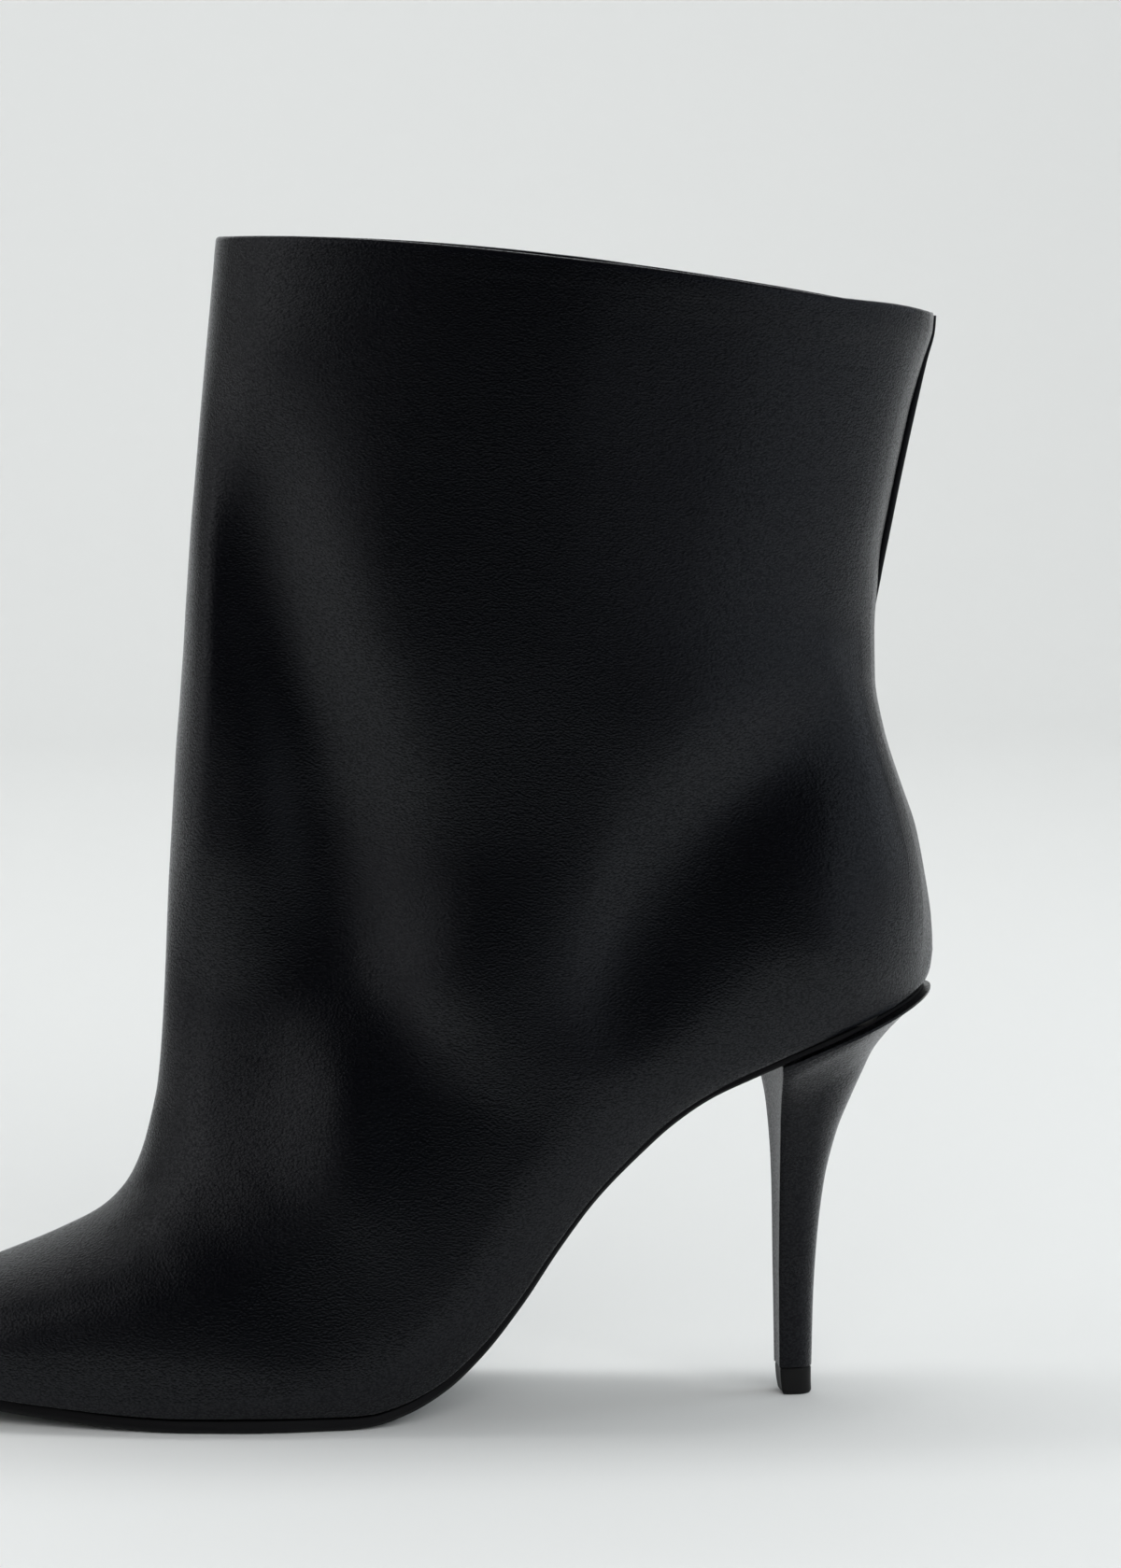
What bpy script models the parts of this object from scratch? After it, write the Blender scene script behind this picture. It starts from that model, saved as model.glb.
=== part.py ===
"""Heeled ankle boot with a wide straight shaft, a pointed toe and a thin covered heel.

Left boot.  Toe towards -X, outer side towards -Y, +Z up, metres.
The tables are in millimetres from the middle of the heel tip, drawn for the sizes below.
"""
import math
from collections import namedtuple

import bmesh
import bpy
import numpy as np

# Driving sizes, millimetres
FOOT_LENGTH = 251.0
BALL_WIDTH = 72.8
HEEL_HEIGHT = 91.2
SHAFT_HEIGHT = 257.4
WALL = 2.0
GAP = 0.3
INSOLE_THICKNESS = 1.6
FLANGE = 5.0
FLANGE_FLAT = 1.6
FEATHER_ROUND = 6.0
INSOLE_CLEARANCE = 0.45
BOW_LEAN = 0.5
SEAM_RISE = 0.5
TOE_ROUND = 26.0
SEAT_ROUND = 25.0
SOLE_TIP_X = -220.0
SOLE_END_X = 28.2
EDGE_ROUND = 0.35
BEVEL_RISE = 1.1
BEVEL_RUN = 1.5
BREAST_HOLLOW = 0.05

# The tables are drawn for these sizes; a change of a driving size scales what it governs
LONG = FOOT_LENGTH / 251.0
WIDE = BALL_WIDTH / 72.8
LIFT = HEEL_HEIGHT / 91.2
TALL = SHAFT_HEIGHT / 257.4
MM = 0.001

# How finely the sections are cut
ROUND_STEPS = 3
LOW_STEPS = 4
TOP_STEPS = 9
FOOT_ROWS = 31
SHAFT_ROWS = 21
SOLE_STEPS = 32
END_STEPS = 7
HEEL_STEPS = 18
HEEL_RINGS = 20

# Underside of the sole along the boot: height, thickness, half widths, sideways shift of the mid line
SoleRow = namedtuple("SoleRow", "x z thick outer inner shift")
SOLE = [SoleRow(*row) for row in (
    (-220.0, 8.6, 2.8, 8.0, 8.0, 7.0),
    (-208.0, 6.9, 2.9, 12.2, 12.0, 5.8),
    (-194.0, 5.1, 3.0, 17.6, 17.0, 4.5),
    (-178.0, 3.2, 3.0, 23.2, 22.0, 3.1),
    (-162.0, 1.5, 3.0, 28.0, 27.0, 1.9),
    (-150.0, 0.5, 3.0, 31.0, 30.5, 1.1),
    (-138.0, 0.0, 3.0, 33.2, 33.4, 0.5),
    (-120.0, 0.0, 3.0, 34.6, 34.8, 0.0),
    (-99.0, 0.0, 3.0, 33.0, 32.0, 0.0),
    (-90.0, 2.6, 3.0, 31.2, 29.6, 0.0),
    (-81.2, 7.1, 3.0, 28.8, 27.2, 0.0),
    (-72.9, 14.2, 3.0, 26.5, 25.0, 0.0),
    (-63.7, 25.2, 3.0, 24.3, 23.0, 0.0),
    (-55.5, 37.0, 3.0, 22.8, 21.7, 0.0),
    (-47.4, 47.4, 3.0, 21.7, 20.8, 0.0),
    (-38.3, 56.6, 3.0, 21.2, 20.5, 0.0),
    (-30.3, 63.8, 2.9, 21.4, 20.8, 0.0),
    (-22.0, 69.5, 2.6, 22.1, 21.6, 0.0),
    (-13.0, 73.8, 1.9, 23.0, 22.6, 0.0),
    (8.0, 82.9, 1.6, 24.4, 24.0, 0.0),
    (28.2, 91.7, 1.6, 24.4, 24.0, 0.0),
)]

# Sections of the foot, from the toe to the end of the seat.  Each runs from the sole at sole_x to a point of
# the vamp or shaft front.  Widest is the share of the way where it is fullest, and under is how much further
# down its side would close if the sole did not cut it off.
FootRow = namedtuple("FootRow", "sole_x front_x front_z outer inner widest under low top ridge")
FOOT = [FootRow(*row) for row in (
    (-214.7, -218.4, 12.3, 3.6, 3.6, 0.50, 0.6, 2.0, 2.0, 2.0),
    (-214.2, -220.6, 14.6, 5.4, 5.4, 0.45, 1.6, 2.0, 2.0, 2.0),
    (-213.2, -220.4, 17.2, 7.0, 6.9, 0.42, 3.0, 2.0, 2.0, 2.0),
    (-211.4, -217.8, 19.6, 8.8, 8.6, 0.40, 4.6, 2.0, 2.0, 2.0),
    (-208.0, -212.4, 21.8, 11.4, 11.1, 0.36, 7.0, 2.0, 2.0, 1.95),
    (-202.0, -204.4, 24.2, 15.0, 14.6, 0.34, 10.0, 2.0, 2.0, 1.85),
    (-192.0, -192.4, 28.6, 19.6, 19.0, 0.32, 13.0, 2.0, 2.0, 1.75),
    (-178.0, -177.2, 34.2, 24.6, 23.6, 0.30, 16.0, 2.0, 2.0, 1.70),
    (-162.0, -164.0, 39.6, 29.4, 28.5, 0.28, 18.0, 2.0, 2.0, 1.70),
    (-146.0, -154.3, 44.8, 33.0, 32.9, 0.27, 19.5, 2.0, 2.0, 1.66),
    (-130.0, -148.9, 50.6, 35.4, 35.9, 0.27, 20.5, 2.0, 2.0, 1.60),
    (-114.0, -145.8, 57.2, 36.4, 36.4, 0.28, 21.0, 2.0, 2.0, 1.56),
    (-99.0, -143.8, 64.4, 36.2, 35.6, 0.30, 19.5, 2.0, 2.0, 1.54),
    (-84.0, -142.3, 71.6, 35.7, 34.7, 0.32, 17.5, 2.0, 2.0, 1.54),
    (-70.0, -141.5, 79.2, 35.2, 34.2, 0.33, 16.0, 2.0, 2.0, 1.54),
    (-56.0, -140.9, 87.6, 35.0, 34.0, 0.34, 16.0, 2.0, 2.0, 1.55),
    (-42.0, -140.4, 96.8, 35.0, 34.2, 0.340, 13.6, 2.1, 2.0, 1.57),
    (-28.0, -140.0, 106.0, 35.0, 34.4, 0.338, 12.8, 2.2, 2.0, 1.60),
    (-14.0, -139.6, 115.0, 35.0, 34.4, 0.337, 14.0, 2.3, 2.0, 1.62),
    (0.0, -139.1, 123.4, 35.0, 34.5, 0.349, 15.6, 2.3, 2.0, 1.64),
    (11.0, -138.7, 130.0, 35.0, 34.6, 0.367, 15.0, 2.3, 2.0, 1.66),
    (18.5, -138.4, 135.0, 35.0, 34.6, 0.384, 10.4, 2.3, 2.0, 1.68),
    (23.2, -138.2, 138.4, 35.0, 34.6, 0.397, 5.6, 2.3, 2.0, 1.70),
)]

# Sections of the shaft, from the heel up to the collar; bow lifts the middle of a section
ShaftRow = namedtuple("ShaftRow", "back_x back_z front_x front_z outer inner widest under low top ridge bow")
SHAFT = [ShaftRow(*row) for row in (
    (26.8, 92.9, -138.05, 140.4, 35.0, 34.6, 0.406, 2.6, 2.3, 2.0, 1.70, 0.0),
    (29.1, 96.4, -137.95, 142.4, 35.0, 34.6, 0.414, 0.7, 2.3, 2.0, 1.70, 0.0),
    (29.9, 101.2, -137.8, 144.7, 35.0, 34.6, 0.418, 0.0, 2.3, 2.0, 1.70, 0.0),
    (29.5, 107.5, -137.6, 147.4, 35.1, 34.7, 0.421, 0.0, 2.3, 2.0, 1.71, 0.0),
    (28.2, 115.6, -137.3, 150.8, 35.3, 34.9, 0.424, 0.0, 2.28, 2.0, 1.72, 0.0),
    (25.9, 127.4, -136.9, 155.4, 35.7, 35.3, 0.427, 0.0, 2.25, 2.0, 1.74, 0.0),
    (22.3, 137.6, -136.5, 160.6, 36.2, 35.8, 0.432, 0.0, 2.2, 2.0, 1.77, 0.0),
    (18.7, 149.0, -136.0, 167.0, 36.7, 36.3, 0.438, 0.0, 2.15, 2.0, 1.80, 0.2),
    (16.7, 160.6, -135.5, 175.0, 37.2, 36.9, 0.445, 0.0, 2.1, 2.0, 1.84, 0.5),
    (16.6, 171.4, -134.9, 184.0, 37.6, 37.4, 0.45, 0.0, 2.0, 2.0, 1.88, 1.0),
    (18.2, 182.6, -134.2, 194.0, 38.1, 37.9, 0.46, 0.0, 2.0, 2.0, 1.91, 1.6),
    (20.5, 194.6, -133.2, 205.0, 38.8, 38.6, 0.46, 0.0, 2.0, 2.0, 1.94, 2.3),
    (23.0, 207.0, -132.2, 216.4, 39.6, 39.4, 0.47, 0.0, 2.0, 2.0, 1.96, 2.9),
    (25.6, 219.0, -131.1, 228.0, 40.5, 40.3, 0.47, 0.0, 2.0, 2.0, 1.98, 3.6),
    (28.2, 230.2, -129.9, 240.4, 41.3, 41.2, 0.47, 0.0, 2.0, 2.0, 2.0, 3.8),
    (29.9, 236.6, -128.9, 250.0, 41.8, 41.7, 0.47, 0.0, 2.0, 2.0, 2.0, 4.0),
    (30.2, 240.4, -128.2, 256.7, 42.0, 42.0, 0.47, 0.0, 2.0, 2.0, 2.0, 4.1),
)]

# Broad folds of the leather, as lines in the side view: depth is outward (less than nothing is a hollow)
FoldRow = namedtuple("FoldRow", "name x0 z0 x1 z1 depth reach")
FOLDS = [FoldRow(*row) for row in (
    ("hollow behind the shaft front", -122.0, 200.0, -92.0, 96.0, -2.2, 13.0),
    ("swell of the instep", -112.0, 196.0, -66.0, 74.0, 1.0, 12.0),
    ("hollow over the waist", -78.0, 92.0, -68.0, 46.0, -1.4, 11.0),
    ("swell above the counter", 8.0, 152.0, -42.0, 72.0, 0.9, 12.0),
)]

# Sections of the heel from the seat to the tip; breast and wide are half widths at the front and at the fullest
HeelRow = namedtuple("HeelRow", "front_x front_z back_x back_z breast wide widest")
HEEL = [HeelRow(*row) for row in (
    (-6.6, 75.4, 29.5, 91.5, 23.0, 24.8, 0.42),
    (-6.4, 73.6, 27.2, 90.0, 21.4, 23.4, 0.42),
    (-6.1, 71.2, 23.7, 86.6, 18.6, 20.4, 0.42),
    (-5.8, 68.6, 20.3, 82.8, 15.6, 17.6, 0.42),
    (-5.5, 65.4, 17.0, 78.2, 12.8, 14.8, 0.42),
    (-5.3, 61.8, 14.5, 72.8, 10.8, 12.6, 0.42),
    (-5.1, 57.6, 12.2, 67.6, 9.2, 10.8, 0.42),
    (-4.9, 51.0, 8.9, 59.4, 7.5, 8.7, 0.42),
    (-4.8, 42.0, 6.1, 48.0, 6.2, 7.1, 0.42),
    (-4.75, 32.0, 4.6, 35.6, 5.4, 6.0, 0.42),
    (-4.6, 20.0, 3.75, 22.0, 4.8, 5.2, 0.42),
    (-4.4, 6.2, 3.4, 6.2, 4.4, 4.6, 0.42),
)]
HEEL_TOP = HeelRow(-6.6, 0.0, 29.5, 0.0, 23.0, 24.8, 0.42)

TOP_PIECE = [HeelRow(*row) for row in (
    (-4.2, 5.9, 3.3, 5.9, 4.2, 4.4, 0.42),
    (-4.0, 3.0, 3.3, 3.0, 4.1, 4.3, 0.42),
    (-3.5, 0.0, 3.4, 0.0, 3.9, 4.2, 0.42),
)]

COLOURS = {
    "upper": ((0.012, 0.012, 0.014, 1.0), 0.38),
    "outsole": ((0.016, 0.016, 0.017, 1.0), 0.55),
    "heel": ((0.011, 0.011, 0.013, 1.0), 0.36),
    "top_piece": ((0.010, 0.010, 0.010, 1.0), 0.60),
    "insole": ((0.055, 0.050, 0.046, 1.0), 0.75),
}


def slopes(xs, ys):
    """Slopes at the knots of a smooth curve that never overshoots its rows."""
    h = np.diff(xs)
    d = np.diff(ys) / h
    m = np.zeros(len(xs))
    m[0] = d[0]
    m[-1] = d[-1]
    for i in range(1, len(xs) - 1):
        if d[i - 1] * d[i] > 0.0:
            a = 2.0 * h[i] + h[i - 1]
            b = h[i] + 2.0 * h[i - 1]
            m[i] = (a + b) / (a / d[i - 1] + b / d[i])
    return m


def smooth(xs, ys):
    """A smooth function through rows of x and y."""
    xs = np.asarray(xs, float)
    ys = np.asarray(ys, float)
    m = slopes(xs, ys)

    def value(x):
        x = min(max(x, xs[0]), xs[-1])
        i = min(int(np.searchsorted(xs, x, side="right")) - 1, len(xs) - 2)
        h = xs[i + 1] - xs[i]
        t = (x - xs[i]) / h
        a = (1 + 2 * t) * (1 - t) ** 2
        b = t * (1 - t) ** 2
        c = t * t * (3 - 2 * t)
        d = t * t * (t - 1)
        return a * ys[i] + b * h * m[i] + c * ys[i + 1] + d * h * m[i + 1]

    return value


def column(rows, name):
    return [getattr(row, name) for row in rows]


sole_x = column(SOLE, "x")
sole_z = smooth(sole_x, column(SOLE, "z"))
sole_thick = smooth(sole_x, column(SOLE, "thick"))
sole_shift = smooth(sole_x, column(SOLE, "shift"))
sole_half = {-1: smooth(sole_x, column(SOLE, "outer")), 1: smooth(sole_x, column(SOLE, "inner"))}


def sole_point(x, rise):
    """Point of the mid plane at a height over the underside, square to it, and the upward direction there."""
    step = 0.05
    dz = (sole_z(min(x + step, SOLE_END_X)) - sole_z(max(x - step, SOLE_TIP_X))) / (2 * step)
    size = math.hypot(1.0, dz)
    normal = np.array((-dz / size, 0.0, 1.0 / size))
    return np.array((x, sole_shift(x), sole_z(x))) + normal * rise, normal


def plan(x, side, inset):
    """Half width of the sole's outline, drawn in by inset, with a round toe and seat."""
    half = max(sole_half[side](x) - inset, 0.5)
    from_tip = x - (SOLE_TIP_X + inset)
    from_end = (SOLE_END_X - inset) - x
    share = 1.0
    for distance, radius in ((from_tip, TOE_ROUND - inset), (from_end, SEAT_ROUND - inset)):
        if distance < radius:
            share *= math.sqrt(max(1.0 - (1.0 - max(distance, 0.0) / radius) ** 2, 0.0))
    return half * share


def section(edge, wide, length, row):
    """One side of a section as (share of the way, half width), from its lower or back edge to the front."""
    reach = row.widest * length
    turn = min(FEATHER_ROUND, 0.8 * reach, 1.2 * row.under)
    spread = max(turn, min(FEATHER_ROUND, 0.3 * reach))
    start = edge + FLANGE_FLAT

    def wall(way):
        q = (reach - way) / (reach + row.under)
        return wide * max(1.0 - q ** row.low, 0.0) ** (1.0 / row.low)

    def lower(way):
        full = max(wall(way), start + 0.05 * way)
        if way >= turn:
            return full
        return start + (full - start) * math.sqrt(1.0 - (1.0 - way / turn) ** 2)

    points = [(0.0, edge), (0.0, start)]
    for k in range(1, ROUND_STEPS + 1):
        way = spread * (1.0 - math.cos(0.5 * math.pi * k / ROUND_STEPS))
        points.append((way / length, lower(way)))
    for k in range(1, LOW_STEPS + 1):
        way = spread + (reach - spread) * (k / LOW_STEPS) ** 1.3
        points.append((way / length, lower(way)))
    for k in range(1, TOP_STEPS + 1):
        a = 0.5 * math.pi * k / TOP_STEPS
        share = row.widest + (1.0 - row.widest) * math.sin(a) ** (2.0 / row.top)
        half = wide * max(math.cos(a), 0.0) ** (2.0 / row.ridge) if k < TOP_STEPS else 0.0
        points.append((share, half))
    return points


def fold_depth(x, z):
    """How far the broad folds stand out at a point of the side view."""
    total = 0.0
    for fold in FOLDS:
        dx = fold.x1 - fold.x0
        dz = fold.z1 - fold.z0
        length = math.hypot(dx, dz)
        along = ((x - fold.x0) * dx + (z - fold.z0) * dz) / length
        off = ((x - fold.x0) * dz - (z - fold.z0) * dx) / length
        past = max(-along, along - length, 0.0)
        total += fold.depth * math.exp(-(off * off + past * past) / (fold.reach * fold.reach))
    return total


SectionRow = namedtuple("SectionRow", "x z front_x front_z outer inner widest under low top ridge bow")


def upper_rows():
    """Every section of the upper, foot first, and how far along the upper each one lies."""
    rows = []
    for r in FOOT:
        base, _ = sole_point(r.sole_x, sole_thick(r.sole_x) + GAP)
        rows.append(SectionRow(base[0], base[2], *r[1:], 0.0))
    for r in SHAFT:
        rows.append(SectionRow(*r))
    table = np.array(rows)
    back = np.linalg.norm(np.diff(table[:, [0, 1]], axis=0), axis=1)
    front = np.linalg.norm(np.diff(table[:, [2, 3]], axis=0), axis=1)
    at = np.concatenate(([0.0], np.cumsum(0.5 * (back + front))))
    return at, table


def even_steps(start, stop, count, bunch_start, bunch_stop):
    """Values from start to stop, closer together at an end that is bunched."""
    values = []
    for k in range(count + 1):
        t = k / count
        if bunch_start:
            t = t ** 1.45
        if bunch_stop:
            t = 1.0 - (1.0 - t) ** 1.6
        values.append(start + (stop - start) * t)
    return values


def upper_sheet():
    """Vertices and faces of the upper's outer face: a sheet from the toe to the collar, joined up the back."""
    at, table = upper_rows()
    heel_row = len(FOOT) - 1
    value = [smooth(at, table[:, c]) for c in range(table.shape[1])]
    place = smooth(at[:len(FOOT)], column(FOOT, "sole_x"))
    along = even_steps(at[0], at[heel_row], FOOT_ROWS, True, True)
    along += even_steps(at[heel_row], at[-1], SHAFT_ROWS, True, False)[1:]
    tip_x = SOLE_TIP_X + FLANGE
    tip, _ = sole_point(tip_x, sole_thick(tip_x) + GAP)
    vertices = [tip]
    rings = []
    for number, v in enumerate(along):
        row = SectionRow(*[f(v) for f in value])
        closed = number >= FOOT_ROWS
        if closed:
            base = np.array((row.x, 0.0, row.z))
            edges = {-1: 0.0, 1: 0.0}
        else:
            x = place(v)
            base, _ = sole_point(x, sole_thick(x) + GAP)
            edges = {side: plan(x, side, FLANGE) for side in (-1, 1)}
        front = np.array((row.front_x, base[1], row.front_z))
        chord = front - base
        length = np.linalg.norm(chord)
        lift = np.array((chord[2], 0.0, -chord[0])) / length
        lift = lift if lift[2] > 0.0 else -lift
        sides = {}
        for side, wide in ((-1, row.outer), (1, row.inner)):
            line = []
            for k, (share, half) in enumerate(section(edges[side], wide, length, row)):
                bow = row.bow * 4.0 * share * (1.0 - share) * (1.0 + BOW_LEAN * (share - 0.5))
                p = base + chord * share + lift * bow
                if closed and k == 1:
                    p = p + chord / length * SEAM_RISE * min(max((p[2] - 100.0) / 30.0, 0.0), 1.0)
                fade = min(half / wide, 1.0) ** 2
                p[1] += side * (half + fade * fold_depth(p[0], p[2]))
                line.append(p)
            sides[side] = line
        loop = sides[-1] + sides[1][-2::-1]
        if closed:
            loop = loop[:-1]
        first = len(vertices)
        vertices.extend(loop)
        rings.append((list(range(first, len(vertices))), closed))
    faces = []
    first_ring = rings[0][0]
    for a, b in zip(first_ring, first_ring[1:]):
        faces.append((0, a, b))
    for (one, one_closed), (two, two_closed) in zip(rings, rings[1:]):
        low = one + [one[0]] if one_closed else one
        high = two + [two[0]] if two_closed else two
        for k in range(len(low) - 1):
            faces.append((low[k], high[k], high[k + 1], low[k + 1]))
    return vertices, faces


def loft(rings, cap_start=True, cap_end=True):
    """Vertices and faces through closed rings that have the same number of points."""
    vertices = []
    faces = []
    count = len(rings[0])
    for ring in rings:
        vertices.extend(ring)
    for i in range(len(rings) - 1):
        for k in range(count):
            j = (k + 1) % count
            faces.append((i * count + k, i * count + j, (i + 1) * count + j, (i + 1) * count + k))
    if cap_start:
        faces.append(tuple(reversed(range(count))))
    if cap_end:
        faces.append(tuple((len(rings) - 1) * count + k for k in range(count)))
    return vertices, faces


def sole_stations(inset):
    """Places along the sole, closer together round the toe and the seat."""
    tip = SOLE_TIP_X + inset
    end = SOLE_END_X - inset
    toe = TOE_ROUND - inset
    seat = SEAT_ROUND - inset
    near = [tip + toe * (1.0 - math.cos(0.5 * math.pi * (k + 0.35) / (END_STEPS + 0.35)))
            for k in range(END_STEPS)]
    middle = [tip + toe + (end - seat - tip - toe) * k / SOLE_STEPS for k in range(SOLE_STEPS + 1)]
    far = [end - seat * (1.0 - math.cos(0.5 * math.pi * (k + 0.35) / (END_STEPS + 0.35)))
           for k in reversed(range(END_STEPS))]
    return near + middle + far


def sole_rings():
    """Rings of the outsole: flat tread, lower bevel, straight edge and a small round at the top."""
    rings = []
    for x in sole_stations(0.0):
        thick = sole_thick(x)
        ring = []
        for side in (-1, 1):
            half = plan(x, side, 0.0)
            run = min(BEVEL_RUN, 0.45 * half)
            turn = min(EDGE_ROUND, 0.2 * half)
            bevel = BEVEL_RISE * thick / 3.0
            line = ((0.0, half - run), (bevel, half), (thick - EDGE_ROUND, half), (thick, half - turn))
            points = []
            for rise, off in line:
                p, _ = sole_point(x, rise)
                points.append(p + np.array((0.0, side * off, 0.0)))
            ring.extend(points if side < 0 else reversed(points))
        rings.append(ring)
    return rings


def insole_rings():
    """Rings of the insole, which fills the opening under the upper."""
    rings = []
    inset = FLANGE + INSOLE_CLEARANCE
    for x in sole_stations(inset):
        low = sole_thick(x) + GAP
        ring = []
        for side in (-1, 1):
            half = plan(x, side, inset)
            points = []
            for rise, off in ((low, half), (low + INSOLE_THICKNESS, half)):
                p, _ = sole_point(x, rise)
                points.append(p + np.array((0.0, side * off, 0.0)))
            ring.extend(points if side < 0 else reversed(points))
        rings.append(ring)
    return rings


def heel_ring(row, follow_seat):
    """Ring of a heel section: hollow breast across the front, round sides and back."""
    front = np.array((row.front_x, 0.0, row.front_z))
    back = np.array((row.back_x, 0.0, row.back_z))
    line = []
    for k in range(HEEL_STEPS // 2 + 1):
        t = k / (HEEL_STEPS // 2)
        if t < 0.3:
            share = row.widest * t / 0.3
            q = 1.0 - t / 0.3
            half = row.breast + (row.wide - row.breast) * math.sqrt(1.0 - q * q)
        else:
            a = 0.5 * math.pi * (t - 0.3) / 0.7
            share = row.widest + (1.0 - row.widest) * math.sin(a)
            half = row.wide * math.cos(a) if k < HEEL_STEPS // 2 else 0.0
        line.append((share, half))
    ring = []
    for share, half in line:
        ring.append(front + (back - front) * share + np.array((0.0, -half, 0.0)))
    for share, half in reversed(line[:-1]):
        ring.append(front + (back - front) * share + np.array((0.0, half, 0.0)))
    for k in (1, 2, 3):
        y = row.breast * (1.0 - 0.5 * k)
        hollow = BREAST_HOLLOW * row.breast * (1.0 - (y / row.breast) ** 2)
        ring.append(front + np.array((hollow, y, 0.0)))
    if follow_seat:
        for p in ring:
            low, _ = sole_point(min(p[0], SOLE_END_X), -GAP)
            slope = (sole_z(SOLE_END_X) - sole_z(SOLE_END_X - 10.0)) / 10.0
            p[2] = low[2] + slope * (p[0] - low[0])
    return ring


def heel_rows():
    """Sections of the heel, drawn smoothly between the rows of its table."""
    at = column(HEEL, "front_z")[::-1]
    curves = [smooth(at, column(HEEL, name)[::-1]) for name in HeelRow._fields]
    rows = []
    for k in range(HEEL_RINGS + 1):
        z = at[-1] + (at[0] - at[-1]) * (k / HEEL_RINGS) ** 1.6
        rows.append(HeelRow(*[curve(z) for curve in curves]))
    return rows


def build_object(name, vertices, faces, collection):
    scale = np.array((LONG, WIDE, 1.0)) * MM
    mesh = bpy.data.meshes.new(name)
    points = []
    for p in vertices:
        rise = p[2] * (LIFT if p[2] < HEEL_HEIGHT else TALL)
        points.append((p[0] * scale[0], p[1] * scale[1], rise * scale[2]))
    mesh.from_pydata(points, [], faces)
    body = bmesh.new()
    body.from_mesh(mesh)
    bmesh.ops.recalc_face_normals(body, faces=body.faces)
    body.to_mesh(mesh)
    body.free()
    colour, rough = COLOURS[name]
    material = bpy.data.materials.new(name)
    material.use_nodes = True
    shader = material.node_tree.nodes["Principled BSDF"]
    shader.inputs["Base Color"].default_value = colour
    shader.inputs["Roughness"].default_value = rough
    shader.inputs["Metallic"].default_value = 0.0
    mesh.materials.append(material)
    thing = bpy.data.objects.new(name, mesh)
    collection.objects.link(thing)
    return thing


def build():
    for thing in list(bpy.data.objects):
        bpy.data.objects.remove(thing, do_unlink=True)
    collection = bpy.data.collections.new("heeled_boot")
    bpy.context.scene.collection.children.link(collection)

    vertices, faces = upper_sheet()
    upper = build_object("upper", vertices, faces, collection)
    top = max(upper.data.vertices, key=lambda v: v.co.z)
    if top.normal.z < -0.5:
        upper.data.flip_normals()
    wall = upper.modifiers.new("wall", "SOLIDIFY")
    wall.thickness = WALL * MM
    wall.offset = -1.0
    wall.use_even_offset = True
    wall.use_rim = True

    build_object("outsole", *loft(sole_rings()), collection)
    build_object("insole", *loft(insole_rings()), collection)
    heel = [heel_ring(HEEL_TOP, True)] + [heel_ring(row, False) for row in heel_rows()]
    build_object("heel", *loft(heel), collection)
    build_object("top_piece", *loft([heel_ring(row, False) for row in TOP_PIECE]), collection)

    low = np.full(3, np.inf)
    high = np.full(3, -np.inf)
    for thing in collection.objects:
        for v in thing.data.vertices:
            low = np.minimum(low, v.co)
            high = np.maximum(high, v.co)
    middle = 0.5 * (low + high)
    for thing in collection.objects:
        for v in thing.data.vertices:
            v.co.x -= middle[0]
            v.co.y -= middle[1]
            v.co.z -= low[2]
    return middle


build()
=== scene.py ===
"""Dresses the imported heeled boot: leather upper and lining, back seam, sole, covered heel, and a studio.

Left boot.  Toe towards -X, outer side towards -Y, +Z up, metres.
The tables are in millimetres from the middle of the heel tip.
"""
import math
from collections import namedtuple

import bmesh
import bpy
import numpy as np
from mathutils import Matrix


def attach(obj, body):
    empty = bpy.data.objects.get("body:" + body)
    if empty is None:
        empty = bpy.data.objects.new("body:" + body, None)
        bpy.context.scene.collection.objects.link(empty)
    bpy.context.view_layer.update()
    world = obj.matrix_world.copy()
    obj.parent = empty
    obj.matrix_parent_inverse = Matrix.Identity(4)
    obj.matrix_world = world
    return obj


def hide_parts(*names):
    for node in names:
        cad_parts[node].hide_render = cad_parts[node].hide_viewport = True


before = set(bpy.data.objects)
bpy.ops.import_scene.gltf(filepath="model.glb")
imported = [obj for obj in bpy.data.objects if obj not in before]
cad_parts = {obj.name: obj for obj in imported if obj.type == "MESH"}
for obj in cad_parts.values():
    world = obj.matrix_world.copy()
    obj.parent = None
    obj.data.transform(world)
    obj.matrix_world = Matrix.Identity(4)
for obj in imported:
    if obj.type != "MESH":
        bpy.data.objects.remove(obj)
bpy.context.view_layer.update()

bl_info = {
    "name": "Heeled boot",
    "version": (1, 0, 0),
    "blender": (4, 5, 0),
    "location": "View3D > Sidebar > Boot",
    "description": "Builds the visible pieces of a heeled ankle boot on its packed frame",
    "category": "Object",
}

MM = 0.001
HEEL_TIP_X = 95.187

# Driving sizes that the solids have too, millimetres
GAP = 0.3
INSOLE_THICKNESS = 1.6
FLANGE = 5.0
FLANGE_FLAT = 1.6
INSOLE_CLEARANCE = 0.45
BOW_LEAN = 0.5
TOE_ROUND = 26.0
SEAT_ROUND = 25.0
SOLE_TIP_X = -220.0
SOLE_END_X = 28.2
BEVEL_RISE = 1.1
BEVEL_RUN = 1.5
BREAST_HOLLOW = 0.05

# Round where the leather meets the sole, much smaller than in the solids, and faces of the sole's bevel
FEATHER_ROUND = 0.4
BEVEL_FACES = 4

# How finely the leather is cut, and how it is evened out
ROUND_STEPS = 6
LOW_STEPS = 16
TOP_STEPS = 42
FOOT_ROWS = 150
SHAFT_ROWS = 92
RIM_ROWS = 24
RIM_REACH = 12.0
ROLL_STEPS = 6
FOLD_STEP = 4.0
FOLD_PASSES = 5
EVEN_SHARE = 0.8

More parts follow.
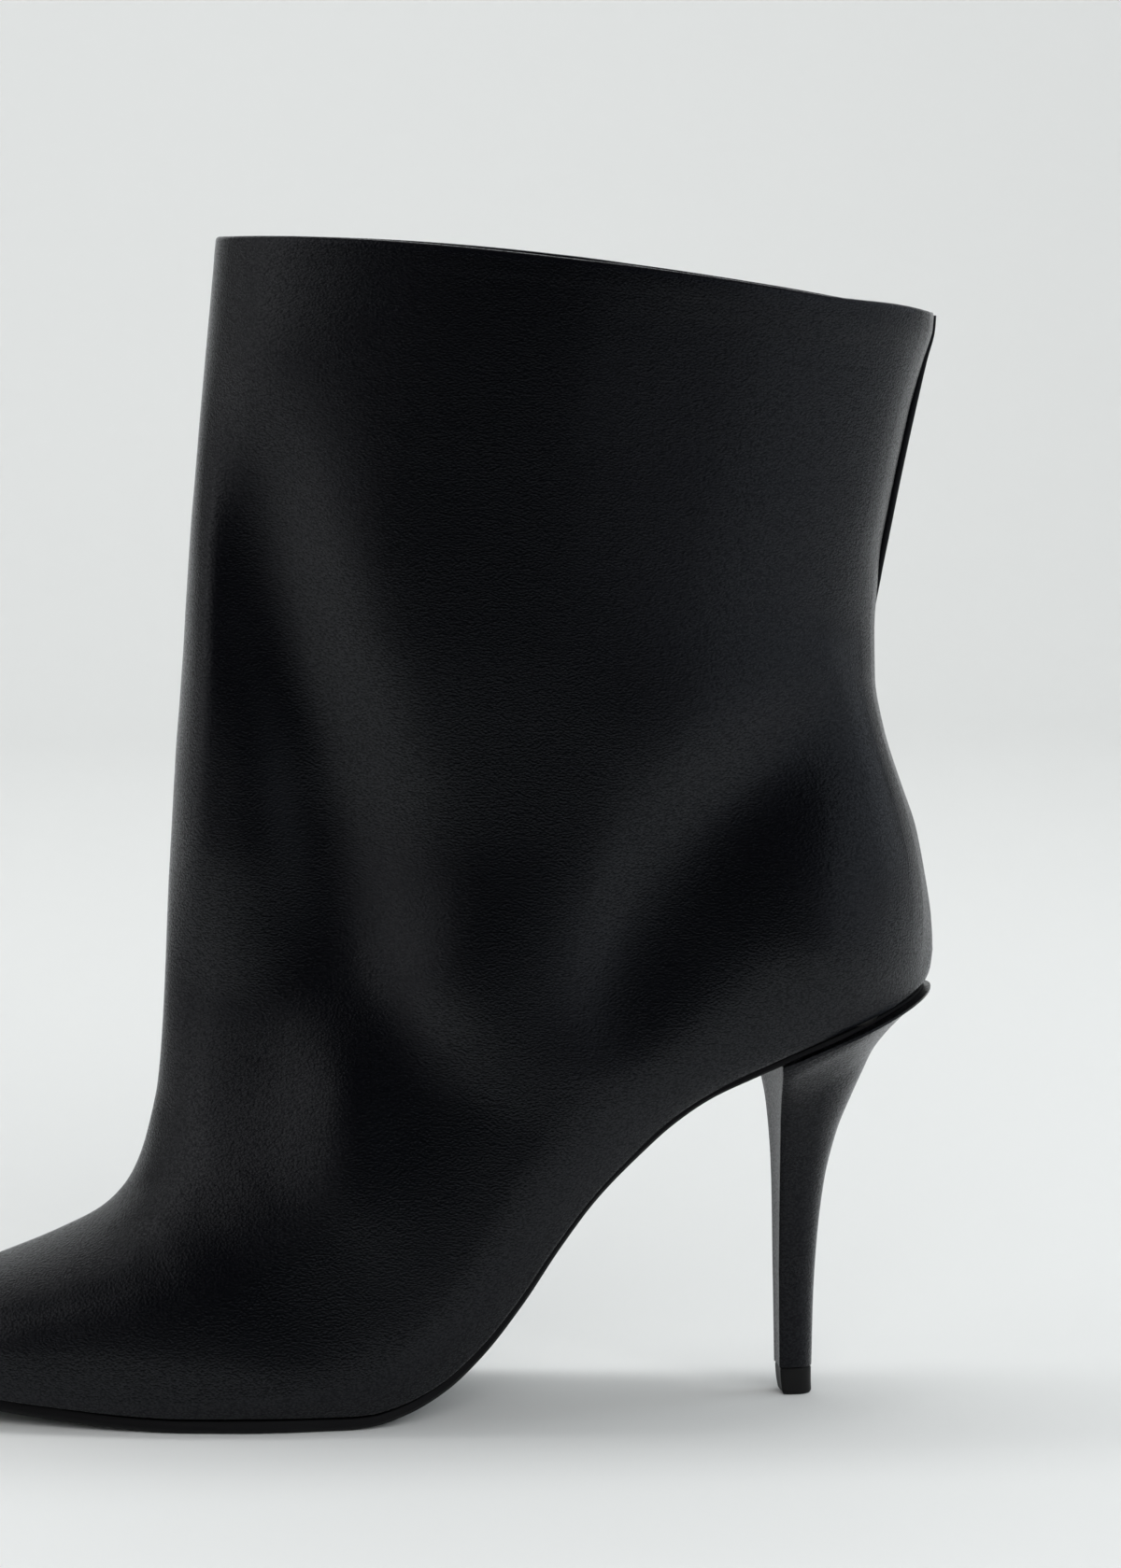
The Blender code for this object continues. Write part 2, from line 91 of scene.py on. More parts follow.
# Folds die out towards the ridge of a section, between these shares of its half width
RIDGE_FADE = (0.04, 0.40)

# Collar: its sag, how much less it sags on the inner side, and where the sag begins and ends
COLLAR_SAG = 0.45
COLLAR_LEAN = 0.75
COLLAR_LEAN_HALF = 20.0
SAG_FRONT = (-125.0, -50.0)
SAG_BACK = (0.0, 22.0)
SAG_UP = (205.0, 246.0)

# Rows and columns over which the leather's turn round the heel is evened out, and how often
HEEL_EASE_ROWS = (14.0, 44.0)
HEEL_EASE_EDGE = (4.0, 14.0)
HEEL_EASE_FRONT = (3.0, 12.0)
HEEL_EASE_PASSES = 240

# Upper: thinner wall at the toe, step to the lining, soft end of the turned edge, inner point of the toe
TOE_WALL = 0.4
TOE_WALL_REACH = 30.0
LINING_STEP = 0.3
LINING_DROP = (6.0, 6.8)
LINING_FROM = 6.6
TURNED_SOFT = 1.0
TOE_INSIDE = (2.0, 0.0, 1.2)

# Back seam: where it swells and eases off, the dip of the leather beside it, its ends and its fineness
SEAM_SWELLS = (172.0, 192.0)
SEAM_EASES = (218.0, 238.0)
SEAM_LEAST = 0.45
SEAM_PROUD = (0.1, 0.15)
SEAM_DIP = 1.6
SEAM_DIP_REACH = 6.0
SEAM_FROM_HEEL = 4.0
SEAM_FROM_COLLAR = 0.6
SEAM_POINTS = 120
SEAM_SIDES = 14

# Sole and insole: places along them, the bevel as shares of its rise and run, the insole's soft edge
SOLE_STATIONS = (22, 190)
INSOLE_STATIONS = (14, 120)
BEVEL_LINE = ((0.0, 1.0), (0.08, 0.8), (0.55, 0.3), (1.0, 0.0))
BEVEL_THICK = 3.0
INSOLE_SOFT = 0.5
INSOLE_INSET = FLANGE + INSOLE_CLEARANCE

# Heel and lift: rows, points round half a section, soft corners, breast faces, gathers under the seat
HEEL_ROWS = 110
HEEL_STEPS = 40
LIFT_STEPS = 24
HEEL_FRONT = 0.3
HEEL_CORNER = 0.45
LIFT_CORNER = 0.4
BREAST_FACES = 8
HEEL_GATHERS = (62.0, 78.0)
HEEL_GATHER_SHARE = 0.8
HEEL_BUNCH = 1.5
SEAT_SLOPE_RUN = 10.0

# Lift: heights of its rings, and where and how far its lower and upper edges are drawn in
LIFT_HEIGHTS = np.concatenate(((5.9, 5.75), np.linspace(5.4, 0.5, 9), (0.15, 0.0)))
LIFT_LOW = 0.4
LIFT_LOW_ROUND = 0.3
LIFT_TOP = 5.6
LIFT_TOP_REACH = 0.3
LIFT_TOP_ROUND = 0.15

# Roughness of the leather on the upper, on the heel and on its breast
UPPER_ROUGH = 0.25
HEEL_ROUGH = 0.28
BREAST_ROUGH = 0.42

# Angles above which an edge stays sharp, degrees
SOLE_SHARP = 42.0
HEEL_SHARP = 48.0
SOFT_SHARP = 50.0

# Underside of the sole along the boot: height, thickness, half widths, sideways shift of the mid line
SoleRow = namedtuple("SoleRow", "x z thick outer inner shift")
SOLE = [SoleRow(*row) for row in (
    (-220.0, 8.6, 2.8, 8.0, 8.0, 7.0),
    (-208.0, 6.9, 2.9, 12.2, 12.0, 5.8),
    (-194.0, 5.1, 3.0, 17.6, 17.0, 4.5),
    (-178.0, 3.2, 3.0, 23.2, 22.0, 3.1),
    (-162.0, 1.5, 3.0, 28.0, 27.0, 1.9),
    (-150.0, 0.5, 3.0, 31.0, 30.5, 1.1),
    (-138.0, 0.0, 3.0, 33.2, 33.4, 0.5),
    (-120.0, 0.0, 3.0, 34.6, 34.8, 0.0),
    (-103.5, 0.0, 2.9, 33.4, 32.6, 0.0),
    (-97.0, 0.6, 2.6, 32.7, 31.6, 0.0),
    (-90.0, 2.6, 2.5, 31.2, 29.6, 0.0),
    (-81.2, 7.1, 2.4, 28.8, 27.2, 0.0),
    (-72.9, 14.2, 2.3, 26.5, 25.0, 0.0),
    (-63.7, 25.2, 2.2, 24.3, 23.0, 0.0),
    (-55.5, 37.0, 2.2, 22.8, 21.7, 0.0),
    (-47.4, 47.4, 2.2, 21.7, 20.8, 0.0),
    (-38.3, 56.6, 2.2, 21.2, 20.5, 0.0),
    (-30.3, 63.8, 2.1, 21.4, 20.8, 0.0),
    (-22.0, 69.5, 2.0, 22.1, 21.6, 0.0),
    (-13.0, 73.8, 1.8, 23.0, 22.6, 0.0),
    (8.0, 82.9, 1.5, 24.4, 24.0, 0.0),
    (19.0, 87.7, 1.2, 24.4, 24.0, 0.0),
    (28.2, 91.7, 0.7, 24.4, 24.0, 0.0),
)]

# Sections of the foot, from the toe to the end of the seat.  Each runs from the sole at sole_x to a point of
# the vamp or shaft front.  Widest is the share of the way where it is fullest, and under is how much further
# down its side would close if the sole did not cut it off.
FootRow = namedtuple("FootRow", "sole_x front_x front_z outer inner widest under low top ridge")
FOOT = [FootRow(*row) for row in (
    (-214.7, -218.4, 12.3, 3.6, 3.6, 0.50, 0.6, 2.0, 2.0, 2.0),
    (-214.2, -220.6, 14.6, 5.4, 5.4, 0.45, 1.6, 2.0, 2.0, 2.0),
    (-213.2, -220.4, 17.2, 7.0, 6.9, 0.42, 3.0, 2.0, 2.0, 2.0),
    (-211.4, -217.8, 19.6, 8.8, 8.6, 0.40, 4.6, 2.0, 2.0, 2.0),
    (-208.0, -212.4, 21.8, 12.6, 11.1, 0.22, 7.0, 2.0, 2.5, 1.70),
    (-202.0, -204.4, 24.2, 17.0, 14.6, 0.16, 10.0, 2.0, 3.0, 1.55),
    (-192.0, -192.4, 28.6, 22.2, 19.0, 0.12, 13.0, 2.0, 3.9, 1.42),
    (-178.0, -177.2, 34.2, 27.0, 23.6, 0.10, 16.0, 2.0, 4.3, 1.36),
    (-162.0, -164.0, 39.6, 30.2, 28.5, 0.09, 18.0, 2.0, 4.3, 1.34),
    (-146.0, -154.3, 44.8, 32.8, 32.9, 0.09, 19.5, 2.0, 3.8, 1.36),
    (-130.0, -148.9, 50.6, 34.2, 35.9, 0.10, 20.5, 2.0, 3.0, 1.42),
    (-114.0, -145.8, 57.2, 35.0, 36.4, 0.12, 21.0, 2.0, 2.4, 1.48),
    (-99.0, -143.8, 64.4, 34.8, 35.6, 0.14, 19.5, 2.0, 2.1, 1.50),
    (-84.0, -142.3, 71.6, 34.4, 34.7, 0.16, 17.5, 2.0, 2.0, 1.52),
    (-70.0, -141.5, 79.2, 34.0, 34.2, 0.17, 16.0, 2.0, 2.0, 1.54),
    (-56.0, -140.9, 87.6, 34.0, 34.0, 0.19, 16.0, 2.0, 2.0, 1.65),
    (-42.0, -140.4, 96.8, 34.4, 34.2, 0.21, 13.6, 2.1, 2.0, 1.72),
    (-28.0, -140.0, 106.0, 35.0, 34.4, 0.25, 12.8, 2.2, 2.0, 1.80),
    (-14.0, -139.6, 115.0, 35.0, 34.4, 0.29, 14.0, 2.3, 2.0, 1.90),
    (0.0, -139.1, 123.4, 35.0, 34.5, 0.332, 15.6, 2.3, 2.0, 2.00),
    (11.0, -138.7, 130.0, 35.0, 34.6, 0.367, 15.0, 2.3, 2.0, 2.06),
    (18.5, -138.4, 135.0, 35.0, 34.6, 0.384, 10.4, 2.3, 2.0, 2.10),
    (23.2, -138.2, 138.4, 35.0, 34.6, 0.397, 5.6, 2.3, 2.0, 2.12),
)]

# Sections of the shaft, from the heel up to the collar; bow lifts the middle of a section
ShaftRow = namedtuple("ShaftRow", "back_x back_z front_x front_z outer inner widest under low top ridge bow")
SHAFT = [ShaftRow(*row) for row in (
    (26.8, 92.9, -138.05, 140.4, 35.0, 34.6, 0.406, 2.6, 2.3, 2.0, 2.12, 0.0),
    (29.1, 96.4, -137.95, 142.4, 35.0, 34.6, 0.414, 0.7, 2.3, 2.0, 2.12, 0.0),
    (29.9, 101.2, -137.8, 144.7, 35.0, 34.6, 0.418, 0.0, 2.3, 2.0, 2.14, 0.0),
    (29.5, 107.5, -137.6, 147.4, 35.1, 34.7, 0.421, 0.0, 2.3, 2.0, 2.16, 0.0),
    (28.2, 115.6, -137.3, 150.8, 35.3, 34.9, 0.424, 0.0, 2.28, 2.0, 2.18, 0.0),
    (25.9, 127.4, -136.9, 155.4, 35.7, 35.3, 0.427, 0.0, 2.25, 2.0, 2.20, 0.0),
    (22.3, 137.6, -136.5, 160.6, 36.2, 35.8, 0.432, 0.0, 2.2, 2.0, 2.20, 0.0),
    (18.7, 149.0, -136.0, 167.0, 36.7, 36.3, 0.438, 0.0, 2.15, 2.0, 2.20, 0.2),
    (16.7, 160.6, -135.5, 175.0, 37.2, 36.9, 0.445, 0.0, 2.1, 2.0, 2.18, 0.5),
    (16.6, 171.4, -134.9, 184.0, 37.6, 37.4, 0.45, 0.0, 2.0, 2.0, 2.14, 1.0),
    (18.2, 182.6, -134.2, 194.0, 38.1, 37.9, 0.46, 0.0, 2.0, 2.0, 2.08, 1.6),
    (20.5, 194.6, -133.2, 205.0, 38.8, 38.6, 0.46, 0.0, 2.0, 2.0, 2.02, 2.3),
    (23.0, 207.0, -132.2, 216.4, 39.6, 39.4, 0.47, 0.0, 2.0, 2.0, 1.96, 2.9),
    (25.6, 219.0, -131.1, 228.0, 40.5, 40.3, 0.47, 0.0, 2.0, 2.0, 1.98, 3.6),
    (28.2, 230.2, -129.9, 240.4, 41.3, 41.2, 0.47, 0.0, 2.0, 2.0, 2.0, 3.8),
    (29.9, 236.6, -128.9, 250.8, 41.8, 41.7, 0.47, 0.0, 2.0, 2.0, 2.0, 4.0),
    (30.2, 240.4, -128.2, 257.8, 42.0, 42.0, 0.47, 0.0, 2.0, 2.0, 2.0, 4.1),
)]

# Folds of the leather, as lines in the side view: x, z, how far out the leather stands there (a hollow is
# less than nothing), and how far the fold is felt to the left and to the right of its line
FoldRow = namedtuple("FoldRow", "name line")
FOLDS = [FoldRow(*row) for row in (
    ("hollow behind the shaft front",
     ((-121.0, 234.0, 0.0, 13.0, 13.0), (-119.5, 219.0, -2.5, 13.0, 13.0), (-118.5, 204.0, -6.0, 13.0, 13.0),
      (-117.0, 188.0, -9.0, 13.0, 13.0), (-113.5, 169.0, -10.5, 13.5, 13.0),
      (-108.0, 149.0, -10.5, 13.5, 13.0),
      (-105.0, 129.0, -11.0, 16.0, 14.0), (-101.5, 109.0, -10.2, 16.0, 16.0), (-96.0, 93.0, -6.8, 12.0, 18.0),
      (-89.0, 83.0, -4.4, 9.0, 18.0), (-83.0, 72.0, -1.8, 8.0, 18.0), (-77.0, 62.0, 0.0, 8.0, 18.0))),
    ("fullness behind the lower end of that hollow",
     ((-86.0, 124.0, 0.2, 22.0, 12.0), (-80.0, 108.0, 2.0, 22.0, 12.0), (-74.0, 94.0, 1.8, 22.0, 11.0),
      (-67.0, 79.0, 0.8, 22.0, 10.0), (-61.0, 66.0, 0.0, 22.0, 10.0))),
    ("swell of the shaft front",
     ((-130.0, 212.0, 0.0, 5.0, 6.0), (-131.6, 196.0, 1.8, 5.0, 6.0), (-133.4, 168.0, 2.8, 5.0, 6.0),
      (-134.8, 149.0, 3.0, 5.0, 6.0), (-136.2, 129.0, 2.6, 5.0, 6.0), (-137.4, 112.0, 1.4, 5.0, 6.0),
      (-138.4, 98.0, 0.0, 5.0, 6.0))),
    ("hollow down the instep",
     ((-124.0, 128.0, 0.0, 17.0, 40.0), (-124.0, 106.0, -2.2, 17.0, 40.0), (-121.0, 88.0, -4.4, 14.0, 20.0),
      (-118.0, 76.0, -4.6, 13.0, 15.0), (-116.0, 62.0, -2.4, 12.0, 15.0), (-116.0, 48.0, 0.0, 12.0, 15.0))),
    ("edge of the instep",
     ((-102.0, 96.0, 0.0, 7.0, 18.0), (-102.5, 84.0, 1.8, 7.0, 18.0), (-103.0, 69.0, 3.4, 8.0, 18.0),
      (-103.0, 51.0, 3.4, 12.0, 18.0), (-108.0, 43.0, 2.8, 16.0, 18.0), (-122.0, 38.5, 2.3, 16.0, 18.0),
      (-140.0, 36.0, 1.0, 16.0, 18.0), (-158.0, 34.5, 0.0, 16.0, 18.0))),
    ("fullness along the ball and the arch",
     ((-192.0, 14.5, 0.0, 14.0, 8.0), (-172.0, 13.0, 1.2, 14.0, 8.0), (-150.0, 11.0, 1.8, 14.0, 8.0),
      (-130.0, 9.5, 2.3, 14.0, 8.0), (-112.0, 10.5, 2.8, 16.0, 9.0), (-92.0, 18.0, 3.3, 20.0, 12.0),
      (-74.0, 32.0, 2.6, 26.0, 12.0), (-60.0, 49.0, 2.2, 22.0, 12.0), (-48.0, 63.0, 0.9, 20.0, 12.0),
      (-39.0, 74.0, 0.0, 18.0, 12.0))),
    ("soft fold down the back of the shaft",
     ((-29.0, 252.0, 0.0, 40.0, 12.0), (-31.0, 238.0, -1.8, 40.0, 12.0), (-35.0, 222.0, -2.0, 40.0, 11.0),
      (-37.0, 192.0, -1.5, 40.0, 11.0), (-35.0, 168.0, -0.9, 40.0, 11.0), (-33.0, 150.0, 0.0, 40.0, 11.0))),
    ("hollow above the counter",
     ((7.0, 161.0, 0.0, 11.0, 11.0), (-5.0, 147.0, -5.0, 11.0, 11.0), (-23.0, 129.0, -7.0, 11.0, 11.0),
      (-36.0, 109.0, -6.5, 10.0, 11.0), (-45.0, 91.0, -3.2, 10.0, 11.0), (-52.0, 77.0, 0.0, 10.0, 11.0))),
    ("swell of the counter",
     ((13.0, 140.0, 2.5, 15.0, 15.0), (11.0, 120.0, 4.5, 15.0, 15.0), (8.0, 104.0, 5.0, 15.0, 15.0))),
)]
CREASES = [FoldRow(*row) for row in (
    ("crease at the throat", ((-154.0, 47.6, -0.8, 2.6, 2.6), (-138.0, 55.4, -0.7, 2.6, 2.6))),
    ("lip under the throat crease", ((-152.0, 44.6, 0.5, 3.0, 3.0), (-137.0, 51.6, 0.4, 3.0, 3.0))),
)]

# Patches where the grain gathers into fine wrinkles: middle and reach in the side view
WrinkleRow = namedtuple("WrinkleRow", "x z across up")
WRINKLES = [WrinkleRow(*row) for row in (
    (-82.0, 243.0, 24.0, 7.0),
    (-29.0, 168.0, 10.0, 12.0),
    (2.0, 164.0, 10.0, 8.0),
    (-145.0, 52.0, 14.0, 10.0),
)]

# Sections of the heel from the seat to the tip; breast is the half width at the front, wide the fullest one
HeelRow = namedtuple("HeelRow", "front_x front_z back_x back_z breast wide widest")
HEEL = [HeelRow(*row) for row in (
    (-6.6, 75.4, 29.5, 91.5, 23.0, 24.8, 0.42),
    (-6.4, 73.6, 27.2, 90.0, 21.4, 23.4, 0.42),
    (-6.1, 71.2, 23.7, 86.6, 18.6, 20.4, 0.42),
    (-5.8, 68.6, 20.3, 82.8, 15.6, 17.6, 0.42),
    (-5.5, 65.4, 17.0, 78.2, 12.8, 14.8, 0.42),
    (-5.3, 61.8, 14.5, 72.8, 10.8, 12.6, 0.42),
    (-5.1, 57.6, 12.2, 67.6, 9.2, 10.8, 0.42),
    (-4.9, 51.0, 8.9, 59.4, 7.5, 8.7, 0.42),
    (-4.8, 42.0, 6.1, 48.0, 6.2, 7.1, 0.42),
    (-4.75, 32.0, 4.6, 35.6, 5.4, 6.0, 0.42),
    (-4.6, 20.0, 3.75, 22.0, 4.8, 5.2, 0.42),
    (-4.4, 6.2, 3.4, 6.2, 4.4, 4.6, 0.42),
)]
HEEL_TOP = HeelRow(-6.6, 0.0, 29.5, 0.0, 23.0, 24.8, 0.42)

TOP_PIECE = [HeelRow(*row) for row in (
    (-4.2, 5.9, 3.3, 5.9, 4.2, 4.4, 0.42),
    (-4.0, 3.0, 3.3, 3.0, 4.1, 4.3, 0.42),
    (-3.5, 0.0, 3.4, 0.0, 3.9, 4.2, 0.42),
)]


# Sizes and colours that a user would change

class BootSizes(bpy.types.PropertyGroup):
    """Sizes of the boot's visible pieces."""
    wall: bpy.props.FloatProperty(
        name="Wall", description="Thickness of the leather with its lining",
        default=2.0 * MM, min=1.0 * MM, max=3.0 * MM, unit="LENGTH", subtype="DISTANCE", precision=4)
    turned_edge: bpy.props.FloatProperty(
        name="Turned edge", description="How far the leather is folded down at the collar",
        default=4.2 * MM, min=1.0 * MM, max=9.0 * MM, unit="LENGTH", subtype="DISTANCE", precision=4)
    turned_rise: bpy.props.FloatProperty(
        name="Turned edge rise", description="How far the folded edge stands out",
        default=0.06 * MM, min=0.0, max=0.6 * MM, unit="LENGTH", subtype="DISTANCE", precision=5)
    seam_width: bpy.props.FloatProperty(
        name="Back seam", description="Width of the raised seam up the back",
        default=2.2 * MM, min=0.5 * MM, max=4.0 * MM, unit="LENGTH", subtype="DISTANCE", precision=4)
    fold_depth: bpy.props.FloatProperty(
        name="Folds", description="Depth of the folds in the leather, as a share of what is drawn",
        default=1.0, min=0.0, max=2.0, subtype="FACTOR")
    grain: bpy.props.FloatProperty(
        name="Grain", description="Size of one grain of the leather",
        default=0.46 * MM, min=0.2 * MM, max=2.0 * MM, unit="LENGTH", subtype="DISTANCE", precision=5)
    edge_round: bpy.props.FloatProperty(
        name="Edge round", description="Radius at the top of the sole's edge",
        default=0.35 * MM, min=0.1 * MM, max=0.8 * MM, unit="LENGTH", subtype="DISTANCE", precision=5)


class BootColours(bpy.types.PropertyGroup):
    """Colours of the boot and its studio."""
    leather: bpy.props.FloatVectorProperty(
        name="Leather", description="Colour of the upper and of the heel's cover",
        subtype="COLOR", size=3, default=(0.0007, 0.0008, 0.0014), min=0.0, max=1.0)
    lining: bpy.props.FloatVectorProperty(
        name="Lining", description="Colour of the lining and of the sock",
        subtype="COLOR", size=3, default=(0.020, 0.019, 0.018), min=0.0, max=1.0)
    sole: bpy.props.FloatVectorProperty(
        name="Sole", description="Colour of the sole",
        subtype="COLOR", size=3, default=(0.005, 0.005, 0.0055), min=0.0, max=1.0)
    rubber: bpy.props.FloatVectorProperty(
        name="Top piece", description="Colour of the lift under the heel",
        subtype="COLOR", size=3, default=(0.005, 0.005, 0.005), min=0.0, max=1.0)
    floor: bpy.props.FloatVectorProperty(
        name="Floor", description="Colour of the studio floor",
        subtype="COLOR", size=3, default=(0.80, 0.815, 0.808), min=0.0, max=1.0)


# Curves through tables

def slopes(xs, ys):
    """Slopes at the knots of a smooth curve that never overshoots its rows."""
    h = np.diff(xs)
    d = np.diff(ys) / h
    m = np.zeros(len(xs))
    m[0] = d[0]
    m[-1] = d[-1]
    for i in range(1, len(xs) - 1):
        if d[i - 1] * d[i] > 0.0:
            a = 2.0 * h[i] + h[i - 1]
            b = h[i] + 2.0 * h[i - 1]
            m[i] = (a + b) / (a / d[i - 1] + b / d[i])
    return m


def smooth(xs, ys, level_ends=False):
    """A smooth function through rows of x and y."""
    xs = np.asarray(xs, float)
    ys = np.asarray(ys, float)
    m = slopes(xs, ys)
    if level_ends:
        m[[0, -1]] = 0.0

    def value(x):
        x = np.clip(x, xs[0], xs[-1])
        i = np.clip(np.searchsorted(xs, x, side="right") - 1, 0, len(xs) - 2)
        h = xs[i + 1] - xs[i]
        t = (x - xs[i]) / h
        a = (1 + 2 * t) * (1 - t) ** 2
        b = t * (1 - t) ** 2
        c = t * t * (3 - 2 * t)
        d = t * t * (t - 1)
        return a * ys[i] + b * h * m[i] + c * ys[i + 1] + d * h * m[i + 1]

    return value


def ease(x, low, high):
    """0 below low, 1 above high, smooth between."""
    t = np.clip((np.asarray(x, float) - low) / (high - low), 0.0, 1.0)
    return t * t * (3.0 - 2.0 * t)


def column(rows, name):
    return [getattr(row, name) for row in rows]


sole_x = column(SOLE, "x")
sole_z = smooth(sole_x, column(SOLE, "z"))
sole_thick = smooth(sole_x, column(SOLE, "thick"))
sole_shift = smooth(sole_x, column(SOLE, "shift"))
sole_half = {-1: smooth(sole_x, column(SOLE, "outer")), 1: smooth(sole_x, column(SOLE, "inner"))}


def sole_point(x, rise):
    """Point of the mid plane at a height over the underside, square to it."""
    step = 0.05
    dz = (sole_z(min(x + step, SOLE_END_X)) - sole_z(max(x - step, SOLE_TIP_X))) / (2 * step)
    size = math.hypot(1.0, dz)
    normal = np.array((-dz / size, 0.0, 1.0 / size))
    return np.array((x, sole_shift(x), sole_z(x))) + normal * rise


def plan(x, side, inset):
    """Half width of the sole's outline, drawn in by inset, with a round toe and seat."""
    half = max(sole_half[side](x) - inset, 0.5)
    from_tip = x - (SOLE_TIP_X + inset)
    from_end = (SOLE_END_X - inset) - x
    share = 1.0
    for distance, radius in ((from_tip, TOE_ROUND - inset), (from_end, SEAT_ROUND - inset)):
        if distance < radius:
            share *= math.sqrt(max(1.0 - (1.0 - max(distance, 0.0) / radius) ** 2, 0.0))
    return half * share


def section(edge, wide, length, row):
    """One side of a section: shares of the way and half widths, from its lower or back edge to the front."""
    reach = row.widest * length
    turn = min(FEATHER_ROUND, 0.8 * reach, 1.2 * row.under)
    spread = max(turn, min(FEATHER_ROUND, 0.3 * reach))
    start = edge + FLANGE_FLAT
    k = np.arange(1, ROUND_STEPS + 1) / ROUND_STEPS
    way = spread * (1.0 - np.cos(0.5 * math.pi * k))
    k = np.arange(1, LOW_STEPS + 1) / LOW_STEPS
    way = np.concatenate((way, spread + (reach - spread) * k ** 1.3))
    q = np.clip((reach - way) / (reach + row.under), 0.0, 1.0)
    full = np.maximum(wide * (1.0 - q ** row.low) ** (1.0 / row.low), start + 0.05 * way)
    rounded = start + (full - start) * np.sqrt(np.clip(1.0 - (1.0 - way / max(turn, 1e-6)) ** 2, 0.0, 1.0))
    low = np.where(way >= turn, full, rounded)
    a = 0.5 * math.pi * np.arange(1, TOP_STEPS + 1) / TOP_STEPS
    share = row.widest + (1.0 - row.widest) * np.sin(a) ** (2.0 / row.top)
    half = wide * np.clip(np.cos(a), 0.0, 1.0) ** (2.0 / row.ridge)
    half[-1] = 0.0
    return np.concatenate(((0.0, 0.0), way / length, share)), np.concatenate(((edge, start), low, half))


def fold_lines(folds, x, z):
    """How far a list of folds stands out at points of the side view."""
    total = np.zeros_like(x)
    for fold in folds:
        table = np.array(fold.line)
        along = np.concatenate(([0.0], np.cumsum(np.hypot(*np.diff(table[:, :2], axis=0).T))))
        fine = np.linspace(0.0, along[-1], int(along[-1] / FOLD_STEP) + 2)
        line = np.stack([smooth(along, values, c > 1)(fine) for c, values in enumerate(table.T)], axis=1)
        nearest = np.full_like(x, np.inf)
        depth = np.zeros_like(x)
        reach = np.ones_like(x)
        for (x0, z0, *first), (x1, z1, *last) in zip(line, line[1:]):
            dx = x1 - x0
            dz = z1 - z0
            t = np.clip(((x - x0) * dx + (z - z0) * dz) / (dx * dx + dz * dz), 0.0, 1.0)
            away = (x - x0 - t * dx) ** 2 + (z - z0 - t * dz) ** 2
            out, left, right = [a + (b - a) * t for a, b in zip(first, last)]
            closer = away < nearest
            depth = np.where(closer, out, depth)
            reach = np.where(closer, np.where(dx * (z - z0) - dz * (x - x0) > 0.0, left, right), reach)
            nearest = np.minimum(nearest, away)
        total += depth * np.exp(-nearest / (reach * reach))
    return total


def soften(values, passes):
    """Evens out a grid of values between its edges."""
    for _ in range(passes):
        mean = 0.25 * (values[:-2, 1:-1] + values[2:, 1:-1] + values[1:-1, :-2] + values[1:-1, 2:])
        values[1:-1, 1:-1] += EVEN_SHARE * (mean - values[1:-1, 1:-1])
    return values


SectionRow = namedtuple("SectionRow", "x z front_x front_z outer inner widest under low top ridge bow")


def upper_rows():
    """Every section of the upper, foot first, and how far along the upper each one lies."""
    rows = []
    for r in FOOT:
        base = sole_point(r.sole_x, sole_thick(r.sole_x) + GAP)
        rows.append(SectionRow(base[0], base[2], *r[1:], 0.0))
    for r in SHAFT:
        rows.append(SectionRow(*r))
    table = np.array(rows)
    back = np.linalg.norm(np.diff(table[:, [0, 1]], axis=0), axis=1)
    front = np.linalg.norm(np.diff(table[:, [2, 3]], axis=0), axis=1)
    at = np.concatenate(([0.0], np.cumsum(0.5 * (back + front))))
    return at, table


def even_steps(start, stop, count, bunch_start, bunch_stop):
    """Values from start to stop, closer together at an end that is bunched."""
    t = np.arange(count + 1) / count
    if bunch_start:
        t = t ** 1.3
    if bunch_stop:
        t = 1.0 - (1.0 - t) ** 1.4
    return start + (stop - start) * t


def seam_swell(z):
    """How far the raised back seam stands proud at a height, as a share of its most."""
    return ease(z, *SEAM_SWELLS) * (1.0 - 0.5 * ease(z, *SEAM_EASES))


